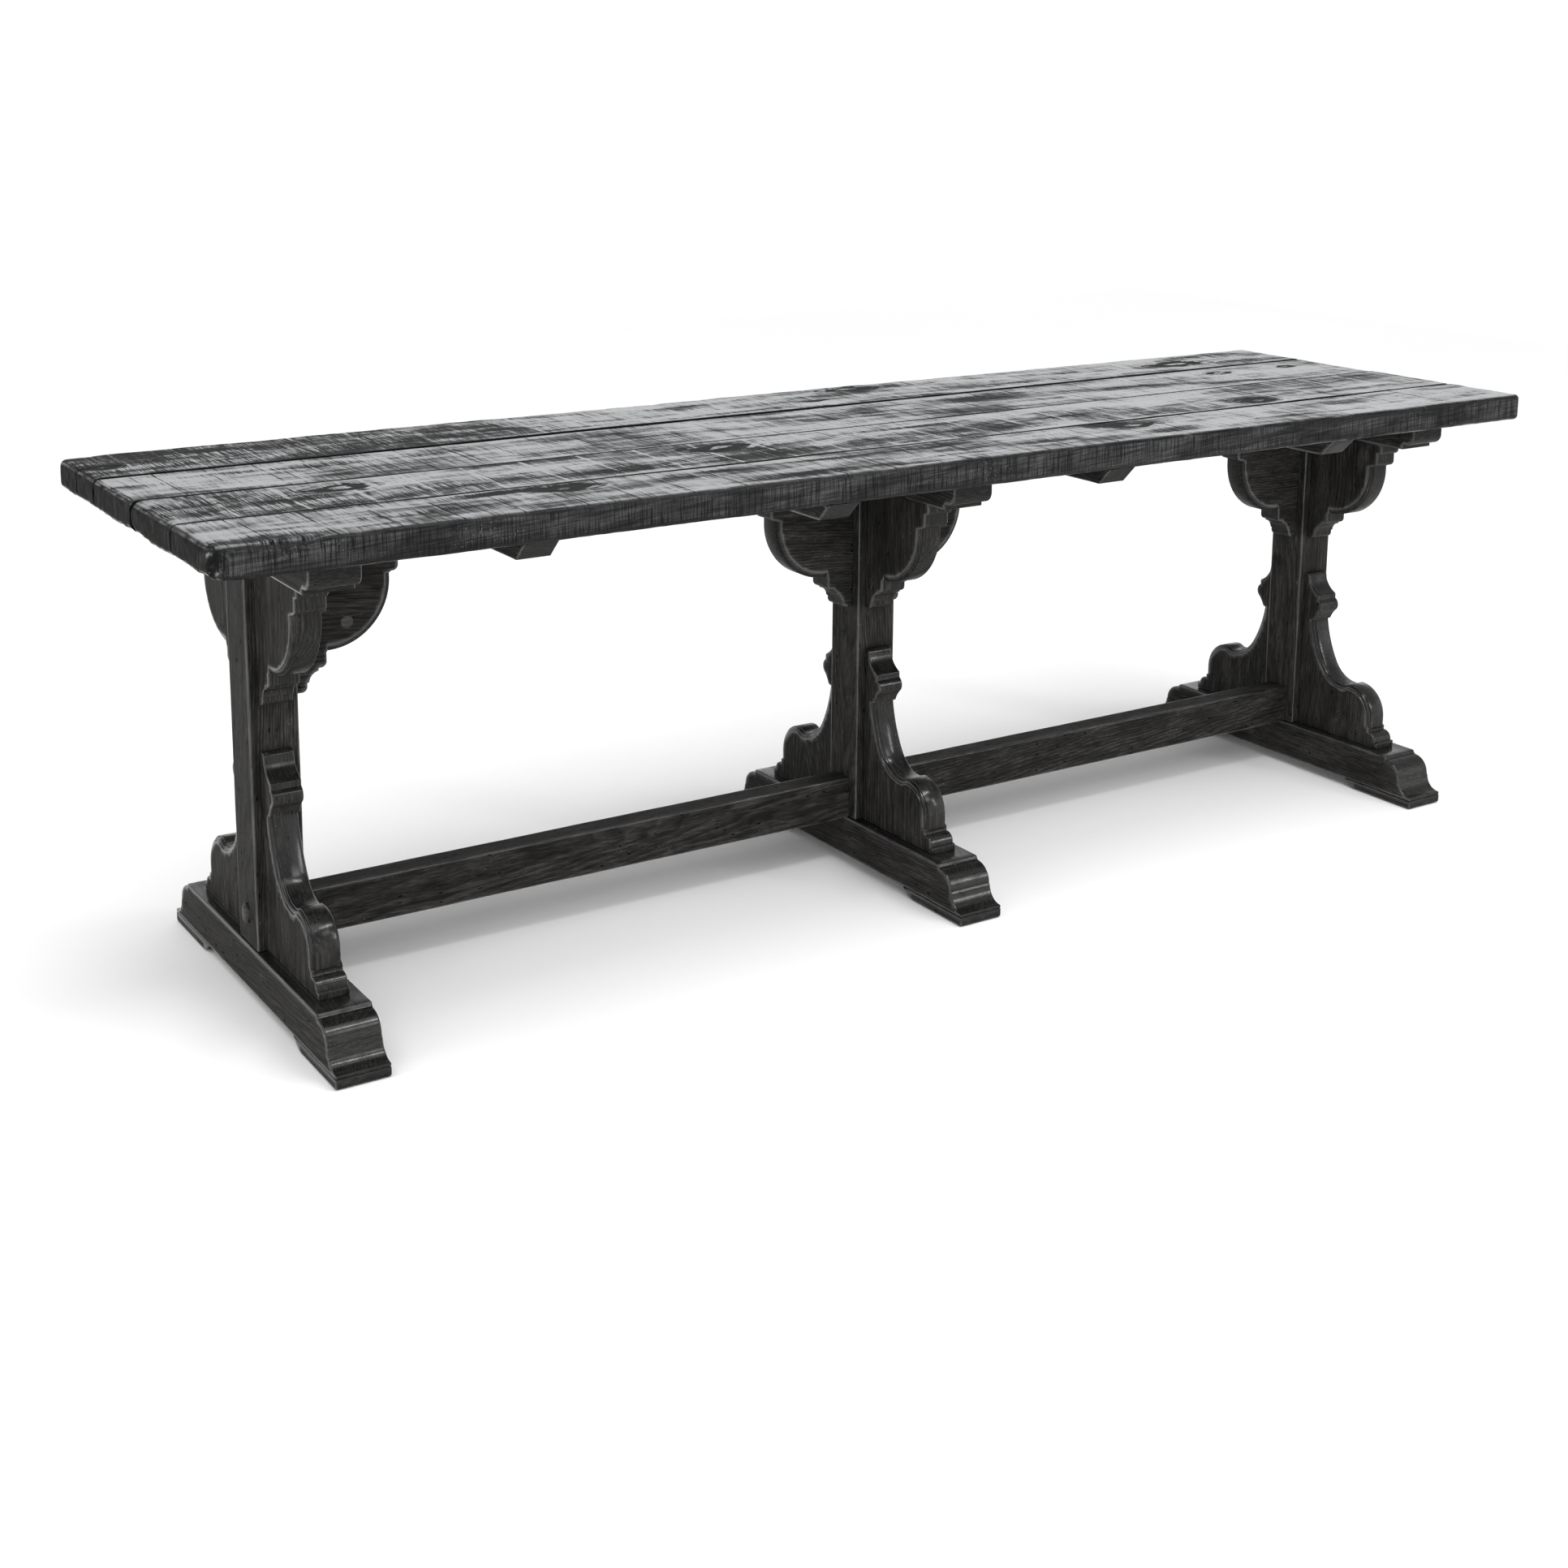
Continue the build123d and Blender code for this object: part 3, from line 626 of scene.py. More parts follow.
def sawn_wood(name, specular):
    """Black-stained sawn planks: dark saw lines across them and rough dark patches in a grey sheen. The grey
    of the top is partly worn wood and partly a sheen painted into the colour, and the walls of the gaps are
    painted near black as shade.
    """
    s = material(name)
    grain = s.attribute("grain", "Vector")
    x, y, z = s.split(grain)
    upper, ends, edge, gap_shade, torn = map(s.attribute, ("upper", "ends", "edge", "gap_shade", "torn"))
    dull, knot, feed, feed_tone = map(s.attribute, ("dull", "knot", "feed", "feed_tone"))
    across = s.plus(y, z)

    def saw_lines(along, rate, wander, layer, detail, roughness):
        """Noise drawn out into lines that run straight across the plank."""
        return s.noise(s.join(s.times(along, rate), s.times(across, wander), layer), 1.0, detail, roughness)

    fine = s.band(saw_lines(x, 400.0, 14.0, 0.0, 3.0, 0.7), 0.33, 0.60)
    coarse = s.band(saw_lines(x, 90.0, 7.0, 3.0, 3.0, 0.7), 0.34, 0.62)
    scratch = s.band(saw_lines(x, 210.0, 5.0, 11.0, 1.0, 0.4), 0.64, 0.72)
    # the feed of the saw left a line right across at every stop
    stop = s.math("ABSOLUTE", s.minus(s.math("FRACT", feed), 0.5))
    stop_noise = saw_lines(feed, 1.0, 14.0, 5.0, 3.0, 0.6)
    dark_stop = s.times(s.band(stop, 0.478, 0.494), s.band(stop_noise, 0.36, 0.56))
    dark_stop = s.times(dark_stop, s.math("MAXIMUM", feed_tone, 0.0))
    pale_stop = s.times(s.band(stop, 0.455, 0.488), s.band(stop_noise, 0.34, 0.5))
    pale_stop = s.times(pale_stop, s.math("MAXIMUM", s.times(feed_tone, -1.0), 0.0))
    # grain: fibres, streaks, rings that wrap the knots
    fibre = s.band(s.noise(grain, (14.0, 330.0, 330.0), 3.0, 0.65), 0.34, 0.66)
    streak = s.band(s.noise(grain, (5.0, 110.0, 110.0), 4.0, 0.65, 0.25), 0.34, 0.66)
    patch = s.noise(grain, (5.5, 30.0, 30.0), 5.0, 0.62, 0.35)
    region = s.noise(grain, (2.2, 8.0, 8.0), 2.0, 0.5)
    blotch = s.noise(grain, (18.0, 40.0, 40.0), 4.0, 0.62)
    swirl = s.math("FRACT", s.plus(s.times(blotch, 1.5), s.times(knot, 2.2)))
    swirl = s.times(s.band(swirl, 0.3, 0.85), s.band(knot, 2.3, 0.9))
    heart = s.linear(s.minus(blotch, 0.5), 2.6, knot)
    ring = s.times(s.band(heart, 0.25, 0.5), s.band(heart, 1.25, 0.8))
    # how well the surface was rubbed: high parts shine, hollows and marks stay dull black. The same mask
    # paints the top light grey: partly a real worn grey, partly a painted sheen for the reflection seen at a
    # low angle.
    rough_here = s.linear(s.minus(blotch, 0.5), 2.2, dull, clamp=True)
    rough_here = s.times(rough_here, s.band(dull, 0.0, 0.25))
    wear_and_sheen = s.linear(s.minus(patch, 0.5), 2.0, 0.98)
    wear_and_sheen = s.linear(s.minus(region, 0.5), 1.3, wear_and_sheen)
    hatch = s.times(s.minus(1.0, fine), s.linear(rough_here, 0.62, 0.26))
    for part, amount in (
        (hatch, -1.0), (s.minus(1.0, coarse), -0.20), (rough_here, -0.26), (streak, -0.16), (fibre, -0.08),
        (scratch, -0.30), (dark_stop, -0.62), (pale_stop, 0.45), (swirl, -0.40), (ring, -1.1),
    ):
        wear_and_sheen = s.linear(part, amount, wear_and_sheen)
    wear_and_sheen = s.times(s.band(wear_and_sheen, 0.12, 0.98), upper)
    # the sides: dark, woven from saw lines and fibres, with clusters of tiny pale flecks
    weave = s.times(fine, s.linear(fibre, 0.7, 0.3))
    cluster = s.band(s.noise(grain, (8.0, 20.0, 20.0), 3.0, 0.6), 0.52, 0.66)
    fleck = s.specks(grain, (560.0, 430.0, 430.0), 0.45, 0.2, 0.88, 0.93)
    fleck = s.times(fleck, cluster)
    side_wood = s.blend(s.times(weave, s.band(patch, 0.35, 0.65, 0.30, 1.0)), grey(0.002), grey(0.078))
    side_wood = s.blend(s.times(fleck, 0.75), side_wood, grey(0.20))
    end_lines = s.band(s.noise(grain, (0.0, 420.0, 24.0), 3.0, 0.65), 0.42, 0.66)
    end_lines = s.times(end_lines, s.band(blotch, 0.4, 0.65))
    end_wood = s.blend(end_lines, grey(0.002, 0.04), grey(0.040, 0.04))
    # painted shade: the faces along the gaps between planks are coloured near black, and made fully rough
    # below, to stand for the shade down in the gaps
    side_wood = s.blend(gap_shade, s.blend(ends, side_wood, end_wood), grey(0.001))
    dark_top = s.blend(fibre, grey(0.0015), grey(0.006))
    # painted sheen: the rubbed parts of the top take a light grey, partly the wood's worn grey and partly a
    # sheen painted into the colour
    wood = s.blend(upper, side_wood, s.blend(wear_and_sheen, dark_top, grey(0.205, -0.03)))
    black_edge = s.times(s.band(edge, 0.45, 0.8), s.band(blotch, 0.72, 0.45))
    wood = s.blend(s.times(black_edge, 0.85), wood, grey(0.003))
    wood = s.blend(s.times(torn, s.band(blotch, 0.52, 0.66)), wood, grey(0.22, -0.06))
    height = s.linear(fine, 0.40, s.times(coarse, 0.30))
    for part, amount in ((fibre, 0.22), (wear_and_sheen, 0.9), (dark_stop, -0.7)):
        height = s.linear(part, amount, height)
    lumps = s.bump(s.linear(patch, 0.7, s.times(blotch, 0.5)), 2.0 * MM, 0.4)
    rough_top = s.band(wear_and_sheen, 0.0, 0.9, 1.0, 0.27)
    rough_side = s.linear(black_edge, -0.50, s.band(blotch, 0.3, 0.7, 0.72, 0.86))
    rough_side = s.math("MAXIMUM", rough_side, gap_shade)
    s.set(
        Base_Color=wood,
        Roughness=s.mix(upper, rough_side, rough_top),
        Normal=s.bump(height, 0.4 * MM, 0.6, lumps),
    )
    s.surface.inputs["Specular IOR Level"].default_value = specular
    return s.owner


def end_grain_plug(name, dark, light):
    """End grain of a cross-cut plug, with the saw's lines across it."""
    s = material(name)
    place = s.object_place()
    lines = s.noise(place, (30.0, 0.0, 520.0), 2.0, 0.6)
    spots = s.noise(place, 420.0, 2.0)
    wood = s.blend(s.band(lines, 0.4, 0.62), grey(dark, 0.08), grey(light, 0.10))
    s.set(
        Base_Color=wood,
        Roughness=s.band(spots, 0.3, 0.7, 0.45, 0.6),
        Normal=s.bump(lines, 0.6 * MM, 0.8),
    )
    return s.owner


def dull_steel():
    """Old screws and nails, browned and stained with the wood."""
    s = material("dull_steel")
    tarnish = s.noise(s.object_place(), 260.0, 3.0, 0.6)
    s.set(
        Base_Color=s.blend(s.band(tarnish, 0.35, 0.65), grey(0.16, 0.05), grey(0.06, 0.25)),
        Roughness=s.band(tarnish, 0.35, 0.65, 0.35, 0.62),
        Metallic=0.9,
    )
    return s.owner


def beech():
    """Bare dowel wood with fine straight flecks."""
    s = material("bare_beech")
    fleck = s.noise(s.object_place(), (240.0, 240.0, 60.0), 2.0)
    s.set(
        Base_Color=s.blend(s.band(fleck, 0.35, 0.65), (0.42, 0.27, 0.15, 1), (0.58, 0.42, 0.26, 1)),
        Roughness=s.band(fleck, 0.3, 0.7, 0.5, 0.65),
    )
    return s.owner


def pale_floor():
    """A plain pale studio floor, its tone just short of even."""
    s = material("pale_floor")
    tone = s.noise(s.object_place(), 0.6, 2.0)
    s.set(
        Base_Color=s.blend(tone, grey(0.93), grey(0.95)),
        Roughness=s.band(tone, 0.3, 0.7, 0.78, 0.85),
    )
    s.surface.inputs["Specular IOR Level"].default_value = 0.15
    return s.owner


ebonised = ebonised_wood()
sawn = [sawn_wood("sawn_top", 0.34), sawn_wood("sawn_sides", 0.12)]
steel = dull_steel()


# ---- Planks of the top --------------------------------------------------------------------------
TOP_CORNER = 14 * MM
TOP_ARRIS = 8 * MM
GAP_ARRIS = 1.6 * MM
WAVE_REACH = 60 * MM             # how far in from a wavy edge the wood follows it
CHIP_PITCH = 2.4 * MM            # between the mesh lines round a chip
WORN_END = (-1.15, -1.24)        # where the extra wear of the left end begins and is full
PLANKS = ("front_edge_plank", "front_plank", "back_plank", "back_edge_plank")

# Knots in each plank: place along the table, place across it, half length, half width, in mm
KNOTS = {
    "front_edge_plank": [(-690, -238, 46, 22), (393, -245, 45, 22)],
    "front_plank": [(-963, -72, 45, 24), (-325, -72, 55, 28), (775, -158, 40, 22)],
    "back_plank": [(960, 135, 28, 14), (1145, 135, 18, 10)],
    "back_edge_plank": [
        (970, 268, 62, 26), (196, 330, 50, 22), (63, 246, 22, 10), (-1212, 252, 26, 14),
    ],
}
# Dull black patches in each plank, in the same terms
HOLLOWS = {
    "front_edge_plank": [
        (-800, -226, 90, 10), (-955, -290, 90, 12), (-1160, -335, 100, 22), (-520, -255, 40, 24),
        (-440, -243, 30, 10), (-140, -242, 150, 9), (-30, -312, 85, 6), (175, -293, 70, 12),
        (340, -225, 40, 26), (430, -318, 60, 18), (680, -312, 85, 9), (960, -300, 50, 6),
        (-330, -330, 110, 16), (1170, -318, 40, 8),
    ],
    "front_plank": [
        (-1130, -100, 130, 90), (-1020, -172, 90, 26), (-840, -150, 140, 34), (-540, -150, 120, 26),
        (-290, -145, 110, 46), (-80, -158, 110, 30), (130, -140, 170, 44), (30, -70, 110, 10),
        (420, -130, 110, 60), (580, -160, 110, 34), (760, -150, 60, 40), (1020, -150, 150, 14),
    ],
    "back_plank": [
        (-1060, 118, 70, 12), (-930, 110, 60, 22), (-730, 125, 50, 26), (-460, 120, 80, 14),
        (90, 110, 30, 34), (360, 130, 90, 30), (700, 85, 120, 14), (900, 35, 60, 12),
    ],
    "back_edge_plank": [
        (-950, 275, 420, 120), (-1060, 318, 190, 26), (-880, 236, 100, 18), (-1150, 215, 100, 18),
        (-560, 262, 60, 18), (-560, 208, 160, 10), (-200, 300, 60, 8), (-170, 208, 170, 10),
        (300, 315, 100, 16), (440, 240, 170, 34), (690, 283, 45, 6), (885, 258, 40, 12),
        (1130, 230, 120, 24), (1060, 325, 100, 20),
    ],
}
# Saw feed marks: a first place along each plank and their spacing, in metres, and how dark they are,
# from 1 for dark lines to -1 for pale ones
FEED_MARKS = {
    "front_edge_plank": (-0.4530, 0.0893, 1.0),
    "front_plank": (-0.0630, 0.0990, -1.0),
    "back_plank": (-0.4770, 0.0765, 0.9),
    "back_edge_plank": (-0.3100, 0.0960, -0.6),
}
# Splits that run in from the plank ends: end (-1 left, 1 right), place across, length and width at the
# end, in metres
SPLITS = {
    "front_edge_plank": [(1, -0.300, 0.045, 0.0012)],
    "front_plank": [(1, -0.060, 0.070, 0.0014)],
    "back_plank": [(-1, 0.012, 0.030, 0.0009)],
    "back_edge_plank": [(-1, 0.262, 0.040, 0.0014), (1, 0.300, 0.040, 0.0012)],
}


def ellipse_field(points, marks):
    """Distance from the nearest mark, 1 on its edge. Each mark is a long ellipse on the top."""
    field = np.full(len(points), 9.0)
    for x, y, half_length, half_width in np.array(marks) * MM:
        away = np.hypot((points[:, 0] - x) / half_length, (points[:, 1] - y) / half_width)
        field = np.minimum(field, away)
    return field


def open_splits(points, rest, low, high, splits):
    """Opens V-shaped splits along the mesh lines that were ruled where they run."""
    for end, across, length, width in splits:
        tip = high[0] - length if end > 0 else low[0] + length
        inward = (rest[:, 0] - tip) * end / length
        open_part = np.clip(inward, 0, 1)
        offset = rest[:, 1] - across
        on_line = np.abs(offset) < 0.1 * MM
        beside = (np.abs(offset) > 0.1 * MM) & (np.abs(offset) < 1.6 * width + 0.2 * MM)
        wander = 2.5 * MM * drift(rest * (1, 0, 0), 40 * MM, 7) * (1 - open_part)
        reach = 6 * MM
        near = np.abs(offset) < reach
        points[near, 1] += (wander * (1 - np.abs(offset) / reach))[near]
        points[beside, 1] -= (offset * (1 - open_part) * 0.8)[beside]
        top = on_line & (rest[:, 2] > high[2] - 0.1 * MM)
        points[top, 2] -= (14 * MM * open_part ** 0.6)[top]
        bottom = on_line & (rest[:, 2] < low[2] + 0.1 * MM)
        points[bottom, 2] += (6 * MM * open_part)[bottom]
        face = on_line & (inward > 0.999)
        points[face, 0] -= end * 12 * MM
    return points


def chipped(points, cuts, seed):
    """Breaks wood away beyond rough slanting planes, each given by a point, a direction and a reach."""
    torn = np.zeros(len(points))
    for k, (place, direction, reach) in enumerate(cuts):
        direction = np.array(direction, float) / np.linalg.norm(direction)
        rough = 1.1 * MM * drift(points, 9 * MM, seed + k) + 0.5 * MM * drift(points, 3.5 * MM, seed + 9 + k)
        beyond = (points - np.array(place)) @ direction + rough
        near = smoothstep(reach, 0.6 * reach, np.linalg.norm(points - np.array(place), axis=1))
        cut = np.maximum(beyond, 0) * near
        points = points - cut[:, None] * direction
        torn = np.maximum(torn, smoothstep(0.2 * MM, 1.5 * MM, cut))
    return points, torn


def plank(name, seed, sink=0.0, chips=()):
    """A sawn plank: rounded outer corners, worn arrises, end splits, knots and a hand-worked top.

    sink is how far it lies below its neighbours.
    """
    low, high = (np.array(corner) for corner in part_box(name))
    outer = {PLANKS[0]: -1, PLANKS[-1]: 1}.get(name, 0)
    splits = SPLITS[name]
    split_lines = [across + k * width for _, across, _, width in splits for k in (-1.5, 0, 1.5)]
    chip_x, chip_y = [], []
    for place, _, reach in chips:
        count = round(reach * 380)
        chip_x += [place[0] + k * CHIP_PITCH for k in range(-count, count)]
        chip_y += [place[1] + k * CHIP_PITCH for k in range(-3, 8)]
    inside_x = [x for x in chip_x if low[0] + TOP_ARRIS * 2 < x < high[0] - TOP_ARRIS * 2]
    inside_y = [y for y in chip_y if low[1] + TOP_ARRIS * 2 < y < high[1] - TOP_ARRIS * 2]
    lines = [
        ruled(low[0], high[0], 7 * MM, TOP_ARRIS, inside_x),
        ruled(low[1], high[1], 5.5 * MM, TOP_ARRIS if outer else GAP_ARRIS * 2, split_lines + inside_y),
        ruled(low[2], high[2], 4 * MM, TOP_ARRIS),
    ]
    points, quads = box_grid(lines)
    rest = points.copy()
    wander = 1 + 0.45 * drift(rest, 55 * MM, seed) + 0.25 * drift(rest, 14 * MM, seed + 1)

    # outer corners, round in plan
    core = rest[:, :2].copy()
    core[:, 0] = np.clip(core[:, 0], low[0] + TOP_CORNER, high[0] - TOP_CORNER)
    if outer < 0:
        core[:, 1] = np.maximum(core[:, 1], low[1] + TOP_CORNER)
    if outer > 0:
        core[:, 1] = np.minimum(core[:, 1], high[1] - TOP_CORNER)
    points[:, :2] = rounded(rest[:, :2], core)
    out = rest[:, :2] - core
    direction = out / np.linalg.norm(out, axis=1)[:, None].clip(1e-9)

    # arrises along the ends and the outer side, then along the gaps
    above = np.minimum(rest[:, 2] - low[2], high[2] - rest[:, 2])
    sense = np.where(rest[:, 2] > (low[2] + high[2]) / 2, -1, 1)
    worn_end = 1 + 0.7 * smoothstep(*WORN_END, rest[:, 0])

    def ease(distance, radius, inward):
        inside = (distance < radius) & (above < radius)
        pair = np.stack([radius - distance, radius - above], axis=1).clip(0)
        largest = pair.max(axis=1)
        size = np.maximum(np.linalg.norm(pair, axis=1), 1e-9)
        shift = pair * (1 - largest / size)[:, None] * inside[:, None]
        points[:, :2] -= inward * shift[:, :1]
        points[:, 2] += sense * shift[:, 1]

    end_gap = np.minimum(rest[:, 0] - low[0], high[0] - rest[:, 0])
    outer_gap = {-1: rest[:, 1] - low[1], 1: high[1] - rest[:, 1], 0: np.full(len(rest), 1.0)}[outer]
    ease(np.minimum(end_gap, outer_gap), TOP_ARRIS * wander.clip(0.6, 1.6) * worn_end, direction)
    gap_shade = np.zeros(len(rest))
    for side in (-1, 1):
        if side == outer:
            continue
        gap = rest[:, 1] - low[1] if side < 0 else high[1] - rest[:, 1]
        away = np.zeros((len(rest), 2))
        away[:, 1] = side
        ease(gap, GAP_ARRIS * wander.clip(0.4, 1.8), away)
        line, wider = gap_behind(PLANKS[PLANKS.index(name) - (side < 0)], rest[:, 0])
        points[:, 1] += (line - side * wider / 2) * smoothstep(WAVE_REACH, 0, gap)
        # the faces at a gap between planks, which the material paints near black as shade
        gap_shade = np.maximum(gap_shade, smoothstep(5 * MM, 1 * MM, gap))

    points = open_splits(points, rest, low, high, splits)

    # a top that was never planed flat: hollows, knots a little proud, whole plank a touch low or high
    knots, hollows = ellipse_field(rest, KNOTS[name]), ellipse_field(rest, HOLLOWS[name])
    on_top = smoothstep(high[2] - 8 * MM, high[2] - 1 * MM, rest[:, 2])
    dip = 0.55 * MM * (1 + drift(rest, (0.22, 0.05, 1), seed + 2)) + sink
    dip += 0.5 * MM * smoothstep(1.4, 0.5, hollows)
    dip += 0.25 * MM * (1 + drift(rest, (0.03, 0.02, 1), seed + 3))
    dip += 1.0 * MM * smoothstep(1.5, 0.8, knots) - 0.9 * MM * smoothstep(0.8, 0.1, knots)
    points[:, 2] -= on_top * dip.clip(0)
    # the outer side is a little wavy, the ends are weathered
    if outer:
        wave = 1.7 * MM * (1 + drift(rest, (0.42, 9, 9), seed + 4))
        wave = wave + 0.3 * MM * (1 + drift(rest, (0.06, 0.05, 0.012), seed + 5))
        middle = 2.2 * MM * smoothstep(1.3, 0.0, np.abs(rest[:, 0]))
        points[:, 1] -= outer * (wave + middle) * smoothstep(WAVE_REACH, 0, outer_gap)
    weather = 0.7 * MM * (1 + drift(rest, (9, 0.011, 0.011), seed + 6)) * smoothstep(6 * MM, 0, end_gap)
    points[:, 0] -= np.sign(rest[:, 0]) * weather
    points, torn = chipped(points, chips, seed + 20)

    first, spacing, feed_tone = FEED_MARKS[name]
    attributes = {
        "grain": grain_coordinates(points, ALONG_X, seed),
        "ends": (end_gap < ON_FACE).astype(float),
        "edge": 1 - smoothstep(0, 16 * MM, np.minimum(np.minimum(end_gap, outer_gap) + above, 1)),
        "upper": smoothstep(high[2] - 4 * MM, high[2] - 0.5 * MM, rest[:, 2])
        * smoothstep(0, 5 * MM, np.minimum(end_gap, outer_gap)) * (1 - gap_shade),
        "dull": smoothstep(1.6, 0.2, hollows),
        "knot": np.minimum(knots, 3),
        "feed": (rest[:, 0] - first) / spacing,
        "feed_tone": np.full(len(rest), feed_tone),
        "gap_shade": gap_shade,
        "torn": torn * smoothstep(low[0] + 50 * MM, low[0] + 30 * MM, rest[:, 0]),
    }
    add_piece(name, points, quads, sawn, [name], attributes, sharp=50)


def gap_behind(name, x):
    """How far the joint behind a plank lies off its straight line, and how much wider it is."""
    along = (x - cad_low.x) / (cad_high.x - cad_low.x)
    if name == "front_edge_plank":
        line = (4.0 - 9.0 * smoothstep(0.0, 0.35, along) + 8.0 * smoothstep(0.5, 1.0, along)) * MM
        line = line + 2.2 * MM * drift(np.stack([x, 0 * x, 0 * x], axis=1), 0.11, 5)
        return line, (2.0 * smoothstep(0.55, 0.78, along) - 0.7 * smoothstep(0.62, 0.3, along)) * MM
    if name == "front_plank":
        line = (-3.0 - 4.0 * smoothstep(0.0, 0.3, along) + 18.0 * smoothstep(0.45, 1.05, along)) * MM
        return line, (1.3 + 1.2 * smoothstep(0.3, 0.45, along) * smoothstep(0.85, 0.6, along)) * MM
    line = (-13.0 + 8.0 * smoothstep(0.0, 0.4, along) + 18.0 * smoothstep(0.4, 1.0, along)) * MM
    bulge = smoothstep(0.0, 0.25, along) * smoothstep(0.62, 0.34, along)
    pinch = smoothstep(0.56, 0.64, along) * smoothstep(0.74, 0.66, along)
    return line, (1.0 + 5.5 * bulge - 1.9 * pinch) * MM


LEFT_END, FRONT_SIDE = cad_low.x, cad_low.y
TOP_LEVEL = cad_high.z
CORNER_CHIPS = [
    ((LEFT_END + 0.024, FRONT_SIDE + 0.002, TOP_LEVEL - 0.010), (-0.45, -0.80, 0.70), 0.07),
    ((LEFT_END + 0.014, FRONT_SIDE + 0.014, TOP_LEVEL - 0.024), (-0.9, -0.9, 0.10), 0.07),
    ((LEFT_END + 0.018, FRONT_SIDE + 0.006, TOP_LEVEL - 0.040), (-0.5, -0.8, -0.6), 0.06),
    ((LEFT_END + 0.085, FRONT_SIDE + 0.002, TOP_LEVEL - 0.015), (0.06, -0.72, 0.70), 0.075),
    ((-0.540, FRONT_SIDE + 0.002, TOP_LEVEL - 0.006), (0.2, -0.7, 0.7), 0.016),
    ((-0.497, FRONT_SIDE + 0.002, TOP_LEVEL - 0.005), (-0.2, -0.7, 0.7), 0.012),
]
plank("front_edge_plank", SEED, sink=0.2 * MM, chips=CORNER_CHIPS)
plank("front_plank", SEED + 40, sink=0.2 * MM)
plank("back_plank", SEED + 80, sink=1.1 * MM)
plank("back_edge_plank", SEED + 120)


# ---- Trestles -----------------------------------------------------------------------------------
FOOT_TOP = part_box("left_foot")[1].z
RAIL_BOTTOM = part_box("left_rail")[0].z
TOP_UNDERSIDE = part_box("left_rail")[1].z

post_x = {}                      # where the middle of each post is
for k, trestle in enumerate(TRESTLES):
    low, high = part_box(f"{trestle}_post")
    post_x[trestle] = (low.x + high.x) / 2
    # the post without its tenons
    timber(f"{trestle}_post", (low.x, low.y, FOOT_TOP), (high.x, high.y, RAIL_BOTTOM), ALONG_Z,
           SEED + 200 + 10 * k)

stretcher_ends = {"left_stretcher": ("left", "middle"), "right_stretcher": ("middle", "right")}
for k, (name, (first, last)) in enumerate(stretcher_ends.items()):
    low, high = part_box(name)
    start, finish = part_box(f"{first}_post")[1].x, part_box(f"{last}_post")[0].x
    timber(name, (start, low.y, FOOT_TOP), (finish, high.y, high.z), ALONG_X,
           SEED + 240 + 10 * k, wear=0.9 * MM)

# Widths and levels in mm
BRACKET_THICKNESS = 47
FOOT_WIDTH = 82
RAIL_WIDTH = 76
CLEAT_WIDTH = 55
SIDES = {"front": -90, "back": 90}
LENGTHWISE = {"left_right_top_bracket": ("left", 0), "middle_left_top_bracket": ("middle", 180),
              "middle_right_top_bracket": ("middle", 0), "right_left_top_bracket": ("right", 180)}
rail_level = RAIL_BOTTOM / MM
top_level = TOP_UNDERSIDE / MM
foot_outline = [(foot_end() + mirrored(foot_end()), 0)]
rail_nose = [(303, top_level)] + bend((303, 707), (298, 695), (286, 690)) + [(277, 690), (277, rail_level)]
rail_outline = [(rail_nose + mirrored(rail_nose), 0)]
pad_outline = [([(186, 16), (350, 16)] + bend((350, 6), (348.24, 1.76), (344, 0)) + [(216, 0)]
                + bend((212, 1.0), (200, 6), (192, 12)), 0)]
seed = SEED + 300
for trestle in TRESTLES:
    x = post_x[trestle]
    outline_piece(f"{trestle}_foot", foot_outline, FOOT_WIDTH, 90, x, ALONG_X, seed,
                  ease=2.6, corner=1.5, step=12, wear=0.5)
    outline_piece(f"{trestle}_rail", rail_outline, RAIL_WIDTH, 90, x, ALONG_X, seed + 1,
                  ease=2.0, step=12)
    for side, turn in SIDES.items():
        outline_piece(f"{trestle}_{side}_pad", pad_outline, FOOT_WIDTH, turn, x, ALONG_X, seed + 2,
                      ease=1.8, corner=1.0, step=12)
        outline_piece(f"{trestle}_{side}_foot_bracket", lower_outline(), BRACKET_THICKNESS, turn, x,
                      ALONG_Z, seed + 3)
        outline_piece(f"{trestle}_{side}_rail_bracket", upper_outline(40, rail_level), BRACKET_THICKNESS,
                      turn, x, ALONG_Z, seed + 4)
        seed += 5
for name, (trestle, turn) in LENGTHWISE.items():
    outline_piece(name, upper_outline(38, top_level), BRACKET_THICKNESS, turn, post_x[trestle], ALONG_X,
                  seed)
    seed += 1

cleat_end, cleat_depth = 358, 28
cleat_outline = [([(-cleat_end, top_level), (cleat_end, top_level),
                   (cleat_end - cleat_depth, top_level - cleat_depth),
                   (cleat_depth - cleat_end, top_level - cleat_depth)], 0)]
for place in ("outer_left", "inner_left", "inner_right", "outer_right"):
    low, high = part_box(f"{place}_cleat")
    outline_piece(f"{place}_cleat", cleat_outline, CLEAT_WIDTH, 90, (low.x + high.x) / 2, ALONG_X, seed,
                  ease=1.8, step=12)
    seed += 1


